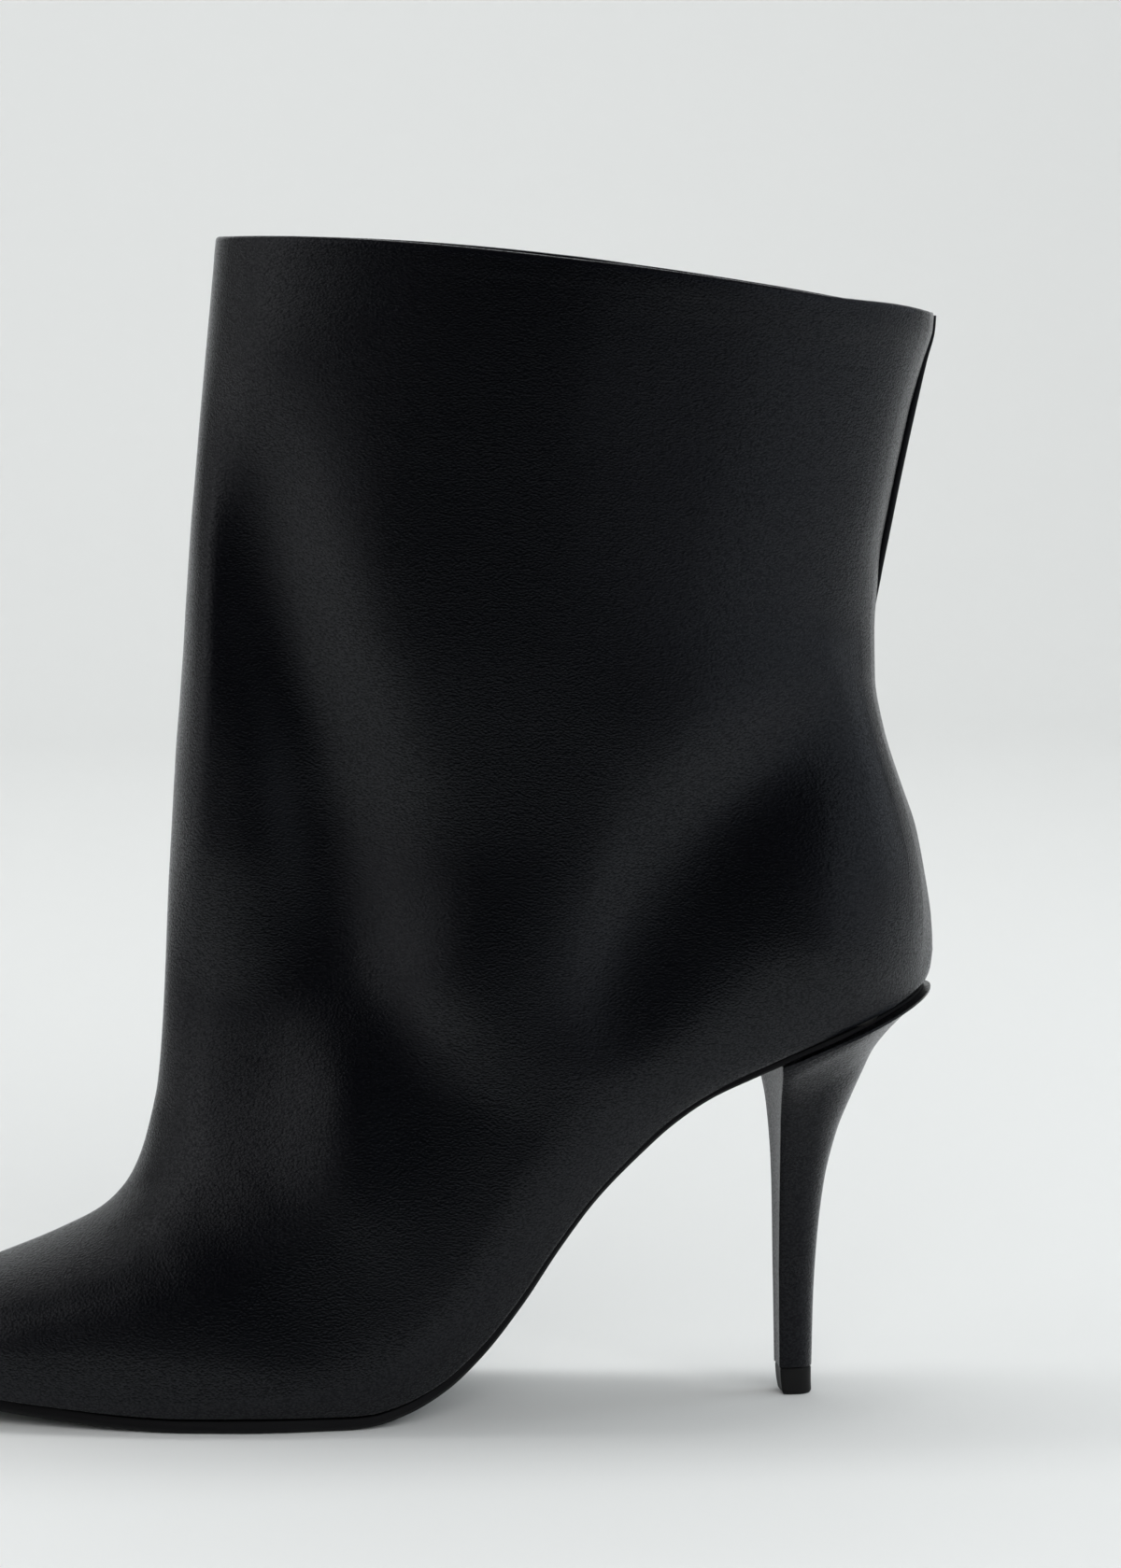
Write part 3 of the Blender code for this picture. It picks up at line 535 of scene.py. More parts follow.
def upper_grid(wall):
    """Outer face of the upper as rows of points, from toe to collar, and whether each row is closed."""
    at, table = upper_rows()
    heel_row = len(FOOT) - 1
    value = [smooth(at, table[:, c]) for c in range(table.shape[1])]
    place = smooth(at[:len(FOOT)], column(FOOT, "sole_x"))
    stop = at[-1] - 0.5 * wall
    along = np.concatenate((
        even_steps(at[0], at[heel_row], FOOT_ROWS, True, True),
        even_steps(at[heel_row], stop - RIM_REACH, SHAFT_ROWS, True, False)[1:],
        even_steps(stop - RIM_REACH, stop, RIM_ROWS, False, False)[1:]))
    grid = []
    outward = []
    closed = []
    for number, v in enumerate(along):
        row = SectionRow(*[float(f(v)) for f in value])
        shut = number >= FOOT_ROWS
        if shut:
            base = np.array((row.x, 0.0, row.z))
            edges = {-1: 0.0, 1: 0.0}
        else:
            x = float(place(v))
            base = sole_point(x, sole_thick(x) + GAP)
            edges = {side: plan(x, side, FLANGE) for side in (-1, 1)}
        chord = np.array((row.front_x, base[1], row.front_z)) - base
        length = np.linalg.norm(chord)
        lift = np.array((chord[2], 0.0, -chord[0])) / length
        lift = lift if lift[2] > 0.0 else -lift
        sides = {}
        shares = {}
        for side, wide in ((-1, row.outer), (1, row.inner)):
            share, half = section(edges[side], wide, length, row)
            bow = row.bow * 4.0 * share * (1.0 - share) * (1.0 + BOW_LEAN * (share - 0.5))
            line = base + np.outer(share, chord) + np.outer(bow, lift)
            if shut:
                dip = SEAM_DIP * seam_swell(row.z) * np.exp(-(share * length / SEAM_DIP_REACH) ** 2)
                line = line + np.outer(dip, chord / length)
            line[:, 1] += side * half
            sides[side] = line
            shares[side] = side * ease(half / wide, *RIDGE_FADE)
        grid.append(np.concatenate((sides[-1], sides[1][-2::-1])))
        outward.append(np.concatenate((shares[-1], shares[1][-2::-1])))
        closed.append(shut)
    grid = ease_heel_row(np.array(grid))
    depth = soften(fold_lines(FOLDS, grid[:, :, 0], grid[:, :, 2]), FOLD_PASSES)
    depth = depth + fold_lines(CREASES, grid[:, :, 0], grid[:, :, 2])
    grid[:, :, 1] += np.array(outward) * depth * bpy.context.scene.boot_sizes.fold_depth
    x, y, z = grid[:, :, 0], grid[:, :, 1], grid[:, :, 2]
    sag = ease(x, *SAG_FRONT) * (1.0 - ease(x, *SAG_BACK)) * ease(z, *SAG_UP)
    grid[:, :, 2] -= sag * (COLLAR_SAG - COLLAR_LEAN * np.clip(y / COLLAR_LEAN_HALF, -1.0, 1.0))
    return grid, np.array(closed)


def ease_heel_row(grid):
    """Evens out the turn of the leather where open rows of the foot meet closed rows of the shaft."""
    rows, count = grid.shape[:2]
    away = np.abs(np.arange(rows) - FOOT_ROWS)
    by_row = 1.0 - ease(away, *HEEL_EASE_ROWS)
    from_edge = np.minimum(np.arange(count), np.arange(count)[::-1])
    from_front = np.abs(np.arange(count) - count // 2)
    by_column = ease(from_edge, *HEEL_EASE_EDGE) * ease(from_front, *HEEL_EASE_FRONT)
    weight = EVEN_SHARE * (by_row[:, None] * by_column[None, :])[1:-1, 1:-1, None]
    for _ in range(HEEL_EASE_PASSES):
        mean = 0.5 * (grid[:-2, 1:-1] + grid[2:, 1:-1])
        grid[1:-1, 1:-1] += weight * (mean - grid[1:-1, 1:-1])
    return grid


def grid_normals(grid, closed):
    """Outward directions of a grid of points whose closed rows meet at their two ends."""
    across = np.gradient(grid, axis=1)
    wrapped = 0.5 * (grid[:, 1] - grid[:, -2])
    across[closed, 0] = wrapped[closed]
    across[closed, -1] = wrapped[closed]
    along = np.gradient(grid, axis=0)
    normal = np.cross(across, along)
    size = np.linalg.norm(normal, axis=2, keepdims=True)
    normal = normal / np.maximum(size, 1e-9)
    middle = grid.mean(axis=1, keepdims=True)
    if np.sum(normal * (grid - middle)) < 0.0:
        normal = -normal
    return normal


# Making meshes

def to_frame(points):
    """Table millimetres to metres of the frame."""
    return (np.asarray(points, float) + (HEEL_TIP_X, 0.0, 0.0)) * MM


def new_piece(name, points, faces, materials, face_materials=None, sharp_deg=None, marks=None):
    """A finished mesh object with outward faces, smooth shading and point attributes."""
    mesh = bpy.data.meshes.new(name)
    mesh.from_pydata([tuple(p) for p in to_frame(points)], [], faces)
    for material in materials:
        mesh.materials.append(material)
    if face_materials is not None:
        mesh.polygons.foreach_set("material_index", np.asarray(face_materials, np.int32))
    for mark, values in (marks or {}).items():
        layer = mesh.attributes.new(mark, "FLOAT", "POINT")
        layer.data.foreach_set("value", np.asarray(values, np.float32))
    body = bmesh.new()
    body.from_mesh(mesh)
    bmesh.ops.remove_doubles(body, verts=body.verts, dist=1e-7)
    bmesh.ops.recalc_face_normals(body, faces=body.faces)
    body.to_mesh(mesh)
    body.free()
    mesh.shade_smooth()
    if sharp_deg is not None:
        mesh.set_sharp_from_angle(angle=math.radians(sharp_deg))
    piece = bpy.data.objects.new(name, mesh)
    bpy.context.scene.collection.objects.link(piece)
    return piece


def loft(rings):
    """Points and faces through closed rings that have the same number of points, with both ends capped."""
    count = len(rings[0])
    points = np.concatenate(rings)
    faces = []
    for i in range(len(rings) - 1):
        for k in range(count):
            j = (k + 1) % count
            faces.append((i * count + k, i * count + j, (i + 1) * count + j, (i + 1) * count + k))
    for ring, order in ((0, -1), (len(rings) - 1, 1)):
        middle = len(points)
        points = np.concatenate((points, [rings[ring].mean(axis=0)]))
        for k in range(count):
            pair = (ring * count + k, ring * count + (k + 1) % count)
            faces.append((middle,) + pair[::order])
    return points, faces


def finish_piece(piece, node):
    """Ties a piece to the frame."""
    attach(piece, "root")
    if node:
        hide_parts(node)
    return piece


# Finishes

class Amount:
    """A value in a material's nodes; sums on it add Math nodes."""

    def __init__(self, finish, socket):
        self.finish = finish
        self.socket = socket

    def sum(self, operation, first, second):
        return self.finish.node("ShaderNodeMath", {"operation": operation}, {0: first, 1: second})

    def __add__(self, other):
        return self.sum("ADD", self, other)

    def __radd__(self, other):
        return self.sum("ADD", other, self)

    def __sub__(self, other):
        return self.sum("SUBTRACT", self, other)

    def __rsub__(self, other):
        return self.sum("SUBTRACT", other, self)

    def __mul__(self, other):
        return self.sum("MULTIPLY", self, other)

    def __rmul__(self, other):
        return self.sum("MULTIPLY", other, self)


class Finish:
    """A material and the nodes that make it."""

    def __init__(self, name):
        self.material = bpy.data.materials.new(name)
        self.material.use_nodes = True
        self.tree = self.material.node_tree
        self.shader = self.tree.nodes["Principled BSDF"]

    def node(self, kind, settings=None, inputs=None, output=0):
        """Adds a node of a kind, sets it up, fills its sockets, and gives one of its outputs."""
        made = self.tree.nodes.new(kind)
        for name, value in (settings or {}).items():
            setattr(made, name, value)
        for name, value in (inputs or {}).items():
            self.join(value, made.inputs[name])
        return Amount(self, made.outputs[output])

    def join(self, value, socket):
        if isinstance(value, Amount):
            self.tree.links.new(value.socket, socket)
        else:
            socket.default_value = value

    def set(self, **values):
        """Fills the shader's sockets; a name's _ stands for a space."""
        for name, value in values.items():
            self.join(value, self.shader.inputs[name.replace("_", " ")])

    def place(self, scale=(1.0, 1.0, 1.0), turn=(0.0, 0.0, 0.0)):
        """Object coordinates, stretched and turned."""
        where = self.node("ShaderNodeTexCoord", output=3)
        return self.node("ShaderNodeMapping", {}, {"Vector": where, "Scale": scale, "Rotation": turn})

    def noise(self, where, scale, detail=2.0, rough=0.5, distortion=0.0):
        return self.node("ShaderNodeTexNoise", {}, {
            "Vector": where, "Scale": scale, "Detail": detail, "Roughness": rough, "Distortion": distortion})

    def cells(self, where, scale, feature="F1"):
        return self.node("ShaderNodeTexVoronoi", {"feature": feature}, {"Vector": where, "Scale": scale})

    def mark(self, name):
        """A point attribute of the piece."""
        return self.node("ShaderNodeAttribute", {"attribute_name": name}, output=2)

    def blend(self, share, first, second):
        """A colour between two colours."""
        return self.node("ShaderNodeMix", {"data_type": "RGBA"}, {0: share, 6: first, 7: second}, output=2)

    def mottle(self, share, colour, dark, light):
        """A colour that wanders between a darker and a lighter tone."""
        return self.blend(share, tone(colour, dark), tone(colour, light))

    def bump(self, height, distance):
        return self.node("ShaderNodeBump", {}, {"Height": height, "Distance": distance, "Strength": 1.0})


def tone(colour, factor=1.0):
    return (colour[0] * factor, colour[1] * factor, colour[2] * factor, 1.0)


def leather_finish(name, colour, grain, rough):
    """Smooth satin leather with fine grain, gathered wrinkles, and edges that are slightly polished and
    painted lighter as a highlight.
    """
    f = Finish(name)
    where = f.place((0.85, 0.85, 1.15))
    drift = f.noise(where, 0.22 / grain, 2.0)
    stir = f.node("ShaderNodeTexNoise", {}, {"Vector": where, "Scale": 0.5 / grain, "Detail": 1.0}, output=1)
    shift = f.node("ShaderNodeVectorMath", {"operation": "SCALE"}, {0: stir, "Scale": 0.5 * grain})
    bent = f.node("ShaderNodeVectorMath", {"operation": "ADD"}, {0: where, 1: shift})
    pebble = f.cells(bent, 1.0 / grain, "SMOOTH_F1")
    pores = f.noise(bent, 3.0 / grain, 2.0, 0.6)
    gathers = f.noise(f.place((260.0, 260.0, 1100.0), (0.0, 0.12, 0.0)), 1.0, 3.0, 0.55, 0.6)
    broad = f.noise(where, 38.0, 3.0)
    wrinkle = f.mark("wrinkle")
    polish = f.mark("polish")
    height = pebble * 0.75 + pores * 0.3 + (gathers - 0.5) * (0.015 + 0.5 * wrinkle)
    colour_mix = f.mottle(0.55 * broad + 0.25 * drift, colour, 0.75, 1.3)
    # Painted highlight: the marked edges' colour is lightened towards 2.4 times the leather's; their lower
    # roughness below is real polish.
    f.set(Base_Color=f.blend(polish * 0.35, colour_mix, tone(colour, 2.4)),
          Roughness=rough + 0.10 * (broad - 0.5) + 0.06 * (pores - 0.5) - 0.06 * polish,
          Coat_Weight=1.15 - 1.9 * pebble,
          Normal=f.bump(height, 0.38 * grain),
          IOR=1.28, Specular_Tint=(0.92, 0.94, 1.0, 1.0), Coat_IOR=1.27, Coat_Roughness=rough,
          Coat_Tint=(0.95, 0.96, 1.0, 1.0))
    return f.material


def lining_finish(name, colour):
    """Matt lining leather with a soft nap."""
    f = Finish(name)
    where = f.place()
    nap = f.noise(where, 2600.0, 3.0, 0.6)
    broad = f.noise(where, 45.0, 3.0)
    pores = f.cells(where, 900.0)
    f.set(Base_Color=f.mottle(broad, colour, 0.75, 1.3),
          Roughness=0.72 + 0.12 * (nap - 0.5),
          Normal=f.bump(nap * 0.6 + pores * 0.5, 0.00004))
    return f.material


def sole_finish(name, colour):
    """Dyed edge of the sole, a little smoother than its tread."""
    f = Finish(name)
    where = f.place()
    grit = f.noise(where, 1500.0, 4.0, 0.65)
    streak = f.noise(f.place((120.0, 120.0, 2200.0)), 1.0, 2.0, 0.5)
    f.set(Base_Color=f.mottle(f.noise(where, 60.0, 3.0), colour, 0.8, 1.35),
          Roughness=0.50 + 0.14 * (grit - 0.5),
          Normal=f.bump(grit * 0.4 + streak * 0.3, 0.00006),
          IOR=1.14)
    return f.material


def tread_finish(name, colour):
    """Matt, stippled tread and lower bevel of the sole."""
    f = Finish(name)
    where = f.place()
    grit = f.noise(where, 1500.0, 4.0, 0.65)
    stipple = f.cells(where, 700.0)
    f.set(Base_Color=f.mottle(f.noise(where, 60.0, 3.0), colour, 0.8, 1.35),
          Roughness=0.66 + 0.12 * (grit - 0.5),
          Normal=f.bump(grit * 0.4 + stipple * 1.2, 0.00006),
          IOR=1.22)
    return f.material


def rubber_finish(name, colour):
    """Dense, even finish of the lift and of the strip over the back seam."""
    f = Finish(name)
    where = f.place()
    grit = f.noise(where, 2200.0, 3.0, 0.6)
    f.set(Base_Color=f.mottle(f.noise(where, 300.0, 2.0), colour, 0.8, 1.4),
          Roughness=0.48 + 0.12 * (grit - 0.5),
          Normal=f.bump(grit, 0.00003),
          IOR=1.22)
    return f.material


def floor_finish(name, colour):
    """Pale matt studio floor."""
    f = Finish(name)
    where = f.place()
    cloud = f.noise(where, 1.3, 2.0)
    f.set(Base_Color=f.mottle(cloud, colour, 0.985, 1.0),
          Roughness=0.75 + 0.05 * (cloud - 0.5),
          Specular_IOR_Level=0.15)
    return f.material


def backdrop_finish(name, colour):
    """Even pale paper all round the floor, which lights nothing."""
    f = Finish(name)
    f.set(Base_Color=(0.0, 0.0, 0.0, 1.0), Specular_IOR_Level=0.0,
          Emission_Color=tone(colour, 1.0), Emission_Strength=BACKDROP_LEVEL)
    return f.material


# Pieces

def collar_roll(outer, inner):
    """Rows of the round top edge, from the outer face over to the inner one."""
    up = outer[-1] - outer[-4]
    up = up / np.linalg.norm(up, axis=1, keepdims=True)
    middle = 0.5 * (outer[-1] + inner[-1])
    spoke = outer[-1] - middle
    radius = np.linalg.norm(spoke, axis=1, keepdims=True)
    angles = [math.pi * k / ROLL_STEPS for k in range(1, ROLL_STEPS)]
    return [middle + spoke * math.cos(a) + up * radius * math.sin(a) for a in angles]


def upper_faces(lines, count, lining_from):
    """Faces of the closed wall and which are lining; the toe's outer and inner points follow the sheet's."""
    faces = []
    kinds = []
    for i in range(lines - 1):
        for k in range(count - 1):
            a = i * count + k
            faces.append((a, a + 1, a + count + 1, a + count))
            kinds.append(1 if i >= lining_from else 0)
    last = (lines - 1) * count
    outer_tip = lines * count
    for k in range(count - 1):
        faces.append((outer_tip, k + 1, k))
        faces.append((outer_tip + 1, last + k, last + k + 1))
        kinds += [0, 1]
    for i in range(FOOT_ROWS):
        for k in (0, count - 1):
            a = i * count + k
            b = (lines - 1 - i) * count + k
            faces.append((a, a + count, b - count, b))
            kinds.append(1)
    for k in (0, count - 1):
        faces.append((outer_tip, k, last + k, outer_tip + 1))
        kinds.append(1)
    return faces, kinds


def wrinkle_share(sheet):
    """How much the grain gathers at each point of the upper."""
    total = np.zeros(sheet.shape[:2])
    for patch in WRINKLES:
        across = (sheet[:, :, 0] - patch.x) / patch.across
        up = (sheet[:, :, 2] - patch.z) / patch.up
        total += np.exp(-(across ** 2 + up ** 2))
    return np.clip(total, 0.0, 1.0)


class BOOT_OT_upper(bpy.types.Operator):
    """Builds the leather upper with its turned collar edge and its lining, as one closed wall"""
    bl_idname = "boot.upper"
    bl_label = "Upper"

    def execute(self, context):
        sizes = context.scene.boot_sizes
        colours = context.scene.boot_colours
        wall = sizes.wall / MM
        turned = sizes.turned_edge / MM
        grid, closed = upper_grid(wall)
        normal = grid_normals(grid, closed)
        rows, count = grid.shape[:2]
        below = np.cumsum(np.linalg.norm(np.diff(grid[::-1], axis=0), axis=2), axis=0)[::-1]
        below = np.concatenate((below, np.zeros((1, count))))
        rise = sizes.turned_rise / MM * (1.0 - ease(below, turned - TURNED_SOFT, turned + TURNED_SOFT))
        outer = grid + normal * rise[:, :, None]
        from_toe = np.linalg.norm(grid[:, count // 2] - grid[0, count // 2], axis=1)
        thick = wall * (TOE_WALL + (1.0 - TOE_WALL) * ease(from_toe, 0.0, TOE_WALL_REACH))[:, None]
        thick = thick - LINING_STEP * (1.0 - ease(below, *LINING_DROP))
        inner = grid - normal * thick[:, :, None]
        sheet = np.concatenate((outer, collar_roll(outer, inner), inner[::-1]))
        tip_x = SOLE_TIP_X + FLANGE
        tip = sole_point(tip_x, sole_thick(tip_x) + GAP)
        points = np.concatenate((sheet.reshape(-1, 3), [tip, tip + TOE_INSIDE]))
        lining_from = rows + ROLL_STEPS - 1 + int(np.sum(below[:, count // 4] < LINING_FROM))
        faces, kinds = upper_faces(len(sheet), count, lining_from)
        # Painted highlight along the rolled collar edge: these rows are marked to be painted lighter, and a
        # little smoother.
        polish = np.zeros((len(sheet), count))
        polish[rows - 2:rows + ROLL_STEPS] = 1.0
        marks = {"wrinkle": np.append(wrinkle_share(sheet).ravel(), (0.0, 0.0)),
                 "polish": np.append(polish.ravel(), (0.0, 0.0))}
        leather = leather_finish("black_leather", colours.leather, sizes.grain, UPPER_ROUGH)
        lining = lining_finish("lining_leather", colours.lining)
        piece = new_piece("upper_leather", points, faces, (leather, lining), kinds, None, marks)
        finish_piece(piece, "upper")
        return {"FINISHED"}


def bead_tree():
    """Nodes that sweep a round bead along a line of points, thick where its swell is large."""
    tree = bpy.data.node_groups.new("raised_seam", "GeometryNodeTree")
    face = tree.interface
    face.new_socket("Geometry", in_out="INPUT", socket_type="NodeSocketGeometry")
    width = face.new_socket("Width", in_out="INPUT", socket_type="NodeSocketFloat")
    sides = face.new_socket("Sides", in_out="INPUT", socket_type="NodeSocketInt")
    finish = face.new_socket("Finish", in_out="INPUT", socket_type="NodeSocketMaterial")
    face.new_socket("Geometry", in_out="OUTPUT", socket_type="NodeSocketGeometry")

    def add(kind, settings=None, **links):
        made = tree.nodes.new(kind)
        for name, value in (settings or {}).items():
            setattr(made, name, value)
        for name, value in links.items():
            socket = made.inputs[name.replace("_", " ")]
            if isinstance(value, bpy.types.NodeSocket):
                tree.links.new(value, socket)
            else:
                socket.default_value = value
        return made

    start = add("NodeGroupInput")
    half = add("ShaderNodeMath", {"operation": "MULTIPLY"})
    tree.links.new(start.outputs["Width"], half.inputs[0])
    half.inputs[1].default_value = 0.5
    swell = add("GeometryNodeInputNamedAttribute", {"data_type": "FLOAT"}, Name="swell")
    path = add("GeometryNodeMeshToCurve", Mesh=start.outputs["Geometry"])
    ring = add("GeometryNodeCurvePrimitiveCircle", Resolution=start.outputs["Sides"], Radius=half.outputs[0])
    swept = add("GeometryNodeCurveToMesh", Curve=path.outputs[0], Profile_Curve=ring.outputs[0],
                Scale=swell.outputs[0], Fill_Caps=True)
    soft = add("GeometryNodeSetShadeSmooth", Geometry=swept.outputs[0], Shade_Smooth=True)
    real = add("GeometryNodeRealizeInstances", Geometry=soft.outputs[0])
    dressed = add("GeometryNodeSetMaterial", Geometry=real.outputs[0], Material=start.outputs["Finish"])
    stop = add("NodeGroupOutput")
    tree.links.new(dressed.outputs[0], stop.inputs[0])
    return tree, width.identifier, sides.identifier, finish.identifier


class BOOT_OT_back_seam(bpy.types.Operator):
    """Sweeps the raised seam up the centre back of the shaft"""
    bl_idname = "boot.back_seam"
    bl_label = "Back seam"

    def execute(self, context):
        sizes = context.scene.boot_sizes
        colours = context.scene.boot_colours
        at, table = upper_rows()
        first = len(FOOT)
        back_x = smooth(at[first:], table[first:, 0])
        back_z = smooth(at[first:], table[first:, 1])
        steps = np.linspace(at[first] + SEAM_FROM_HEEL, at[-1] - SEAM_FROM_COLLAR, SEAM_POINTS)
        line = np.stack((back_x(steps), np.zeros(len(steps)), back_z(steps)), axis=1)
        radius = 0.5 * sizes.seam_width / MM
        proud = seam_swell(line[:, 2])
        slope = np.gradient(line, axis=0)
        slope = slope / np.linalg.norm(slope, axis=1, keepdims=True)
        outward = np.stack((slope[:, 2], np.zeros(len(steps)), -slope[:, 0]), axis=1)
        swell = SEAM_LEAST + (1.0 - SEAM_LEAST) * proud
        line = line + outward * (SEAM_PROUD[0] + SEAM_PROUD[1] * proud - radius * swell)[:, None]
        mesh = bpy.data.meshes.new("back_seam_path")
        links = [(i, i + 1) for i in range(len(line) - 1)]
        mesh.from_pydata([tuple(p) for p in to_frame(line)], links, [])
        layer = mesh.attributes.new("swell", "FLOAT", "POINT")
        layer.data.foreach_set("value", swell.astype(np.float32))
        path = bpy.data.objects.new("back_seam_path", mesh)
        context.scene.collection.objects.link(path)
        tree, width, sides, finish = bead_tree()
        sweep = path.modifiers.new("raised seam", "NODES")
        sweep.node_group = tree
        sweep[width] = sizes.seam_width
        sweep[sides] = SEAM_SIDES
        sweep[finish] = rubber_finish("seam_strip", colours.leather)
        made = bpy.data.meshes.new_from_object(path.evaluated_get(context.evaluated_depsgraph_get()))
        bpy.data.objects.remove(path)
        if not made.polygons:
            raise RuntimeError("the back seam came out empty")
        made.name = "back_seam"
        seam = bpy.data.objects.new("back_seam", made)
        context.scene.collection.objects.link(seam)
        finish_piece(seam, None)
        return {"FINISHED"}


def sole_stations(inset, ends, middle):
    """Places along the sole, closer together round the toe and the seat."""
    tip = SOLE_TIP_X + inset
    stop = SOLE_END_X - inset
    toe = TOE_ROUND - inset
    seat = SEAT_ROUND - inset
    turn = 1.0 - np.cos(0.5 * math.pi * (np.arange(ends) + 0.2) / (ends + 0.2))
    straight = np.linspace(tip + toe, stop - seat, middle + 1)
    return np.concatenate((tip + toe * turn, straight, stop - seat * turn[::-1]))


def round_edge(top, half, radius, angles):
    """Heights and half widths round an upper edge."""
    return [(top - radius + radius * math.sin(a), half - radius + radius * math.cos(a)) for a in angles]


def outsole_side(x, side, corner):
    """One side of the outsole across x, from the tread over the bevel and the edge to the top."""
    thick = float(sole_thick(x))
    half = plan(x, side, 0.0)
    run = min(BEVEL_RUN, 0.45 * half)
    bevel = BEVEL_RISE * thick / BEVEL_THICK
    line = [(0.0, 0.55 * (half - run))]
    line += [(rise * bevel, half - back * run) for rise, back in BEVEL_LINE]
    line += round_edge(thick, half, min(corner, 0.2 * half), np.linspace(0.0, 0.5 * math.pi, 5))
    return line + [(thick, 0.5 * half)]


def insole_side(x, side):
    """One side of the insole across x, from its underside over the soft edge to the top."""
    low = float(sole_thick(x)) + GAP
    top = low + INSOLE_THICKNESS
    half = plan(x, side, INSOLE_INSET)
    soft = min(INSOLE_SOFT, 0.3 * half)
    line = [(low, 0.5 * half), (low, half), (top - soft, half)]
    return line + round_edge(top, half, soft, (0.5, 1.0, 1.5)) + [(top, 0.5 * half)]


def sole_ring(x, outer, inner):
    """Ring across the sole at x, from the heights and half widths of its two sides."""
    ring = [sole_point(x, rise) - (0.0, half, 0.0) for rise, half in outer]
    ring += [sole_point(x, rise) + (0.0, half, 0.0) for rise, half in inner[::-1]]
    return np.array(ring)


class BOOT_OT_outsole(bpy.types.Operator):
    """Builds the thin sole with its rounded top edge, straight side and lower bevel"""
    bl_idname = "boot.outsole"
    bl_label = "Outsole"

    def execute(self, context):
        colours = context.scene.boot_colours
        corner = context.scene.boot_sizes.edge_round / MM
        rings = [sole_ring(x, outsole_side(x, -1, corner), outsole_side(x, 1, corner))
                 for x in sole_stations(0.0, *SOLE_STATIONS)]
        points, faces = loft(rings)
        upright = len(rings[0]) - 2 * BEVEL_FACES - 1
        kinds = ([1] * BEVEL_FACES + [0] * upright + [1] * (BEVEL_FACES + 1)) * (len(rings) - 1)
        kinds += [0] * (len(faces) - len(kinds))
        finishes = (sole_finish("black_sole_edge", colours.sole), tread_finish("black_tread", colours.sole))
        piece = new_piece("sole_unit", points, faces, finishes, kinds, SOLE_SHARP)
        finish_piece(piece, "outsole")
        return {"FINISHED"}


class BOOT_OT_insole(bpy.types.Operator):
    """Builds the insole board with the sock over it"""
    bl_idname = "boot.insole"
    bl_label = "Insole"

    def execute(self, context):
        colours = context.scene.boot_colours
        rings = [sole_ring(x, insole_side(x, -1), insole_side(x, 1))
                 for x in sole_stations(INSOLE_INSET, *INSOLE_STATIONS)]
        points, faces = loft(rings)
        sock = lining_finish("sock_leather", colours.lining)
        piece = new_piece("sock", points, faces, (sock,), None, SOFT_SHARP)
        finish_piece(piece, "insole")
        return {"FINISHED"}


def heel_ring(row, follow_seat, steps, corner):
    """Ring of a heel section: hollow breast across the front, round sides and back, softened breast edges."""
    front = np.array((row.front_x, 0.0, row.front_z))
    back = np.array((row.back_x, 0.0, row.back_z))
    chord = back - front
    length = np.linalg.norm(chord)
    line = []
    for k in range(steps + 1):
        t = k / steps
        if t < HEEL_FRONT:
            share = row.widest * t / HEEL_FRONT
            q = 1.0 - t / HEEL_FRONT
            half = row.breast + (row.wide - row.breast) * math.sqrt(1.0 - q * q)
        else:
            a = 0.5 * math.pi * (t - HEEL_FRONT) / (1.0 - HEEL_FRONT)
            share = row.widest + (1.0 - row.widest) * math.sin(a)
            half = row.wide * math.cos(a) if k < steps else 0.0
        line.append((share, half))
    soft = min(corner, 0.2 * row.breast)
    first = [(soft * share / length, row.breast - soft * inward) for share, inward in
             ((0.0, 1.0), (0.08, 0.6), (0.3, 0.3), (0.6, 0.08))]
    begin = 0.8 * soft / length
    line = first + [(begin + (1.0 - begin) * share, half) for share, half in line[1:]]
    ring = [front + chord * share + (0.0, -half, 0.0) for share, half in line]
    ring += [front + chord * share + (0.0, half, 0.0) for share, half in line[-2::-1]]
    inside = row.breast - soft
    for k in range(1, BREAST_FACES):
        y = inside * (1.0 - 2.0 * k / BREAST_FACES)
        hollow = BREAST_HOLLOW * row.breast * (1.0 - (y / inside) ** 2)
        ring.append(front + (hollow, y, 0.0))
    ring = np.array(ring)
    if follow_seat:
        slope = (sole_z(SOLE_END_X) - sole_z(SOLE_END_X - SEAT_SLOPE_RUN)) / SEAT_SLOPE_RUN
        for p in ring:
            low = sole_point(min(p[0], SOLE_END_X), -GAP)
            p[2] = low[2] + slope * (p[0] - low[0])
    return ring


def heel_rows(rows, heights):
    """Sections of the heel or its lift with their front edges at the given heights."""
    at = column(rows, "front_z")[::-1]
    curves = [smooth(at, column(rows, name)[::-1]) for name in HeelRow._fields]
    return [HeelRow(*[float(curve(z)) for curve in curves]) for z in heights]


def lift_ring(row):
    """Ring of the lift, drawn in a little at its lower and upper edges."""
    ring = heel_ring(row, False, LIFT_STEPS, LIFT_CORNER)
    low = LIFT_LOW_ROUND * (1.0 - min(row.front_z / LIFT_LOW, 1.0))
    high = LIFT_TOP_ROUND * max((row.front_z - LIFT_TOP) / LIFT_TOP_REACH, 0.0)
    away = ring - ring.mean(axis=0)
    away[:, 2] = 0.0
    return ring - (low + high) * away / np.linalg.norm(away, axis=1, keepdims=True)


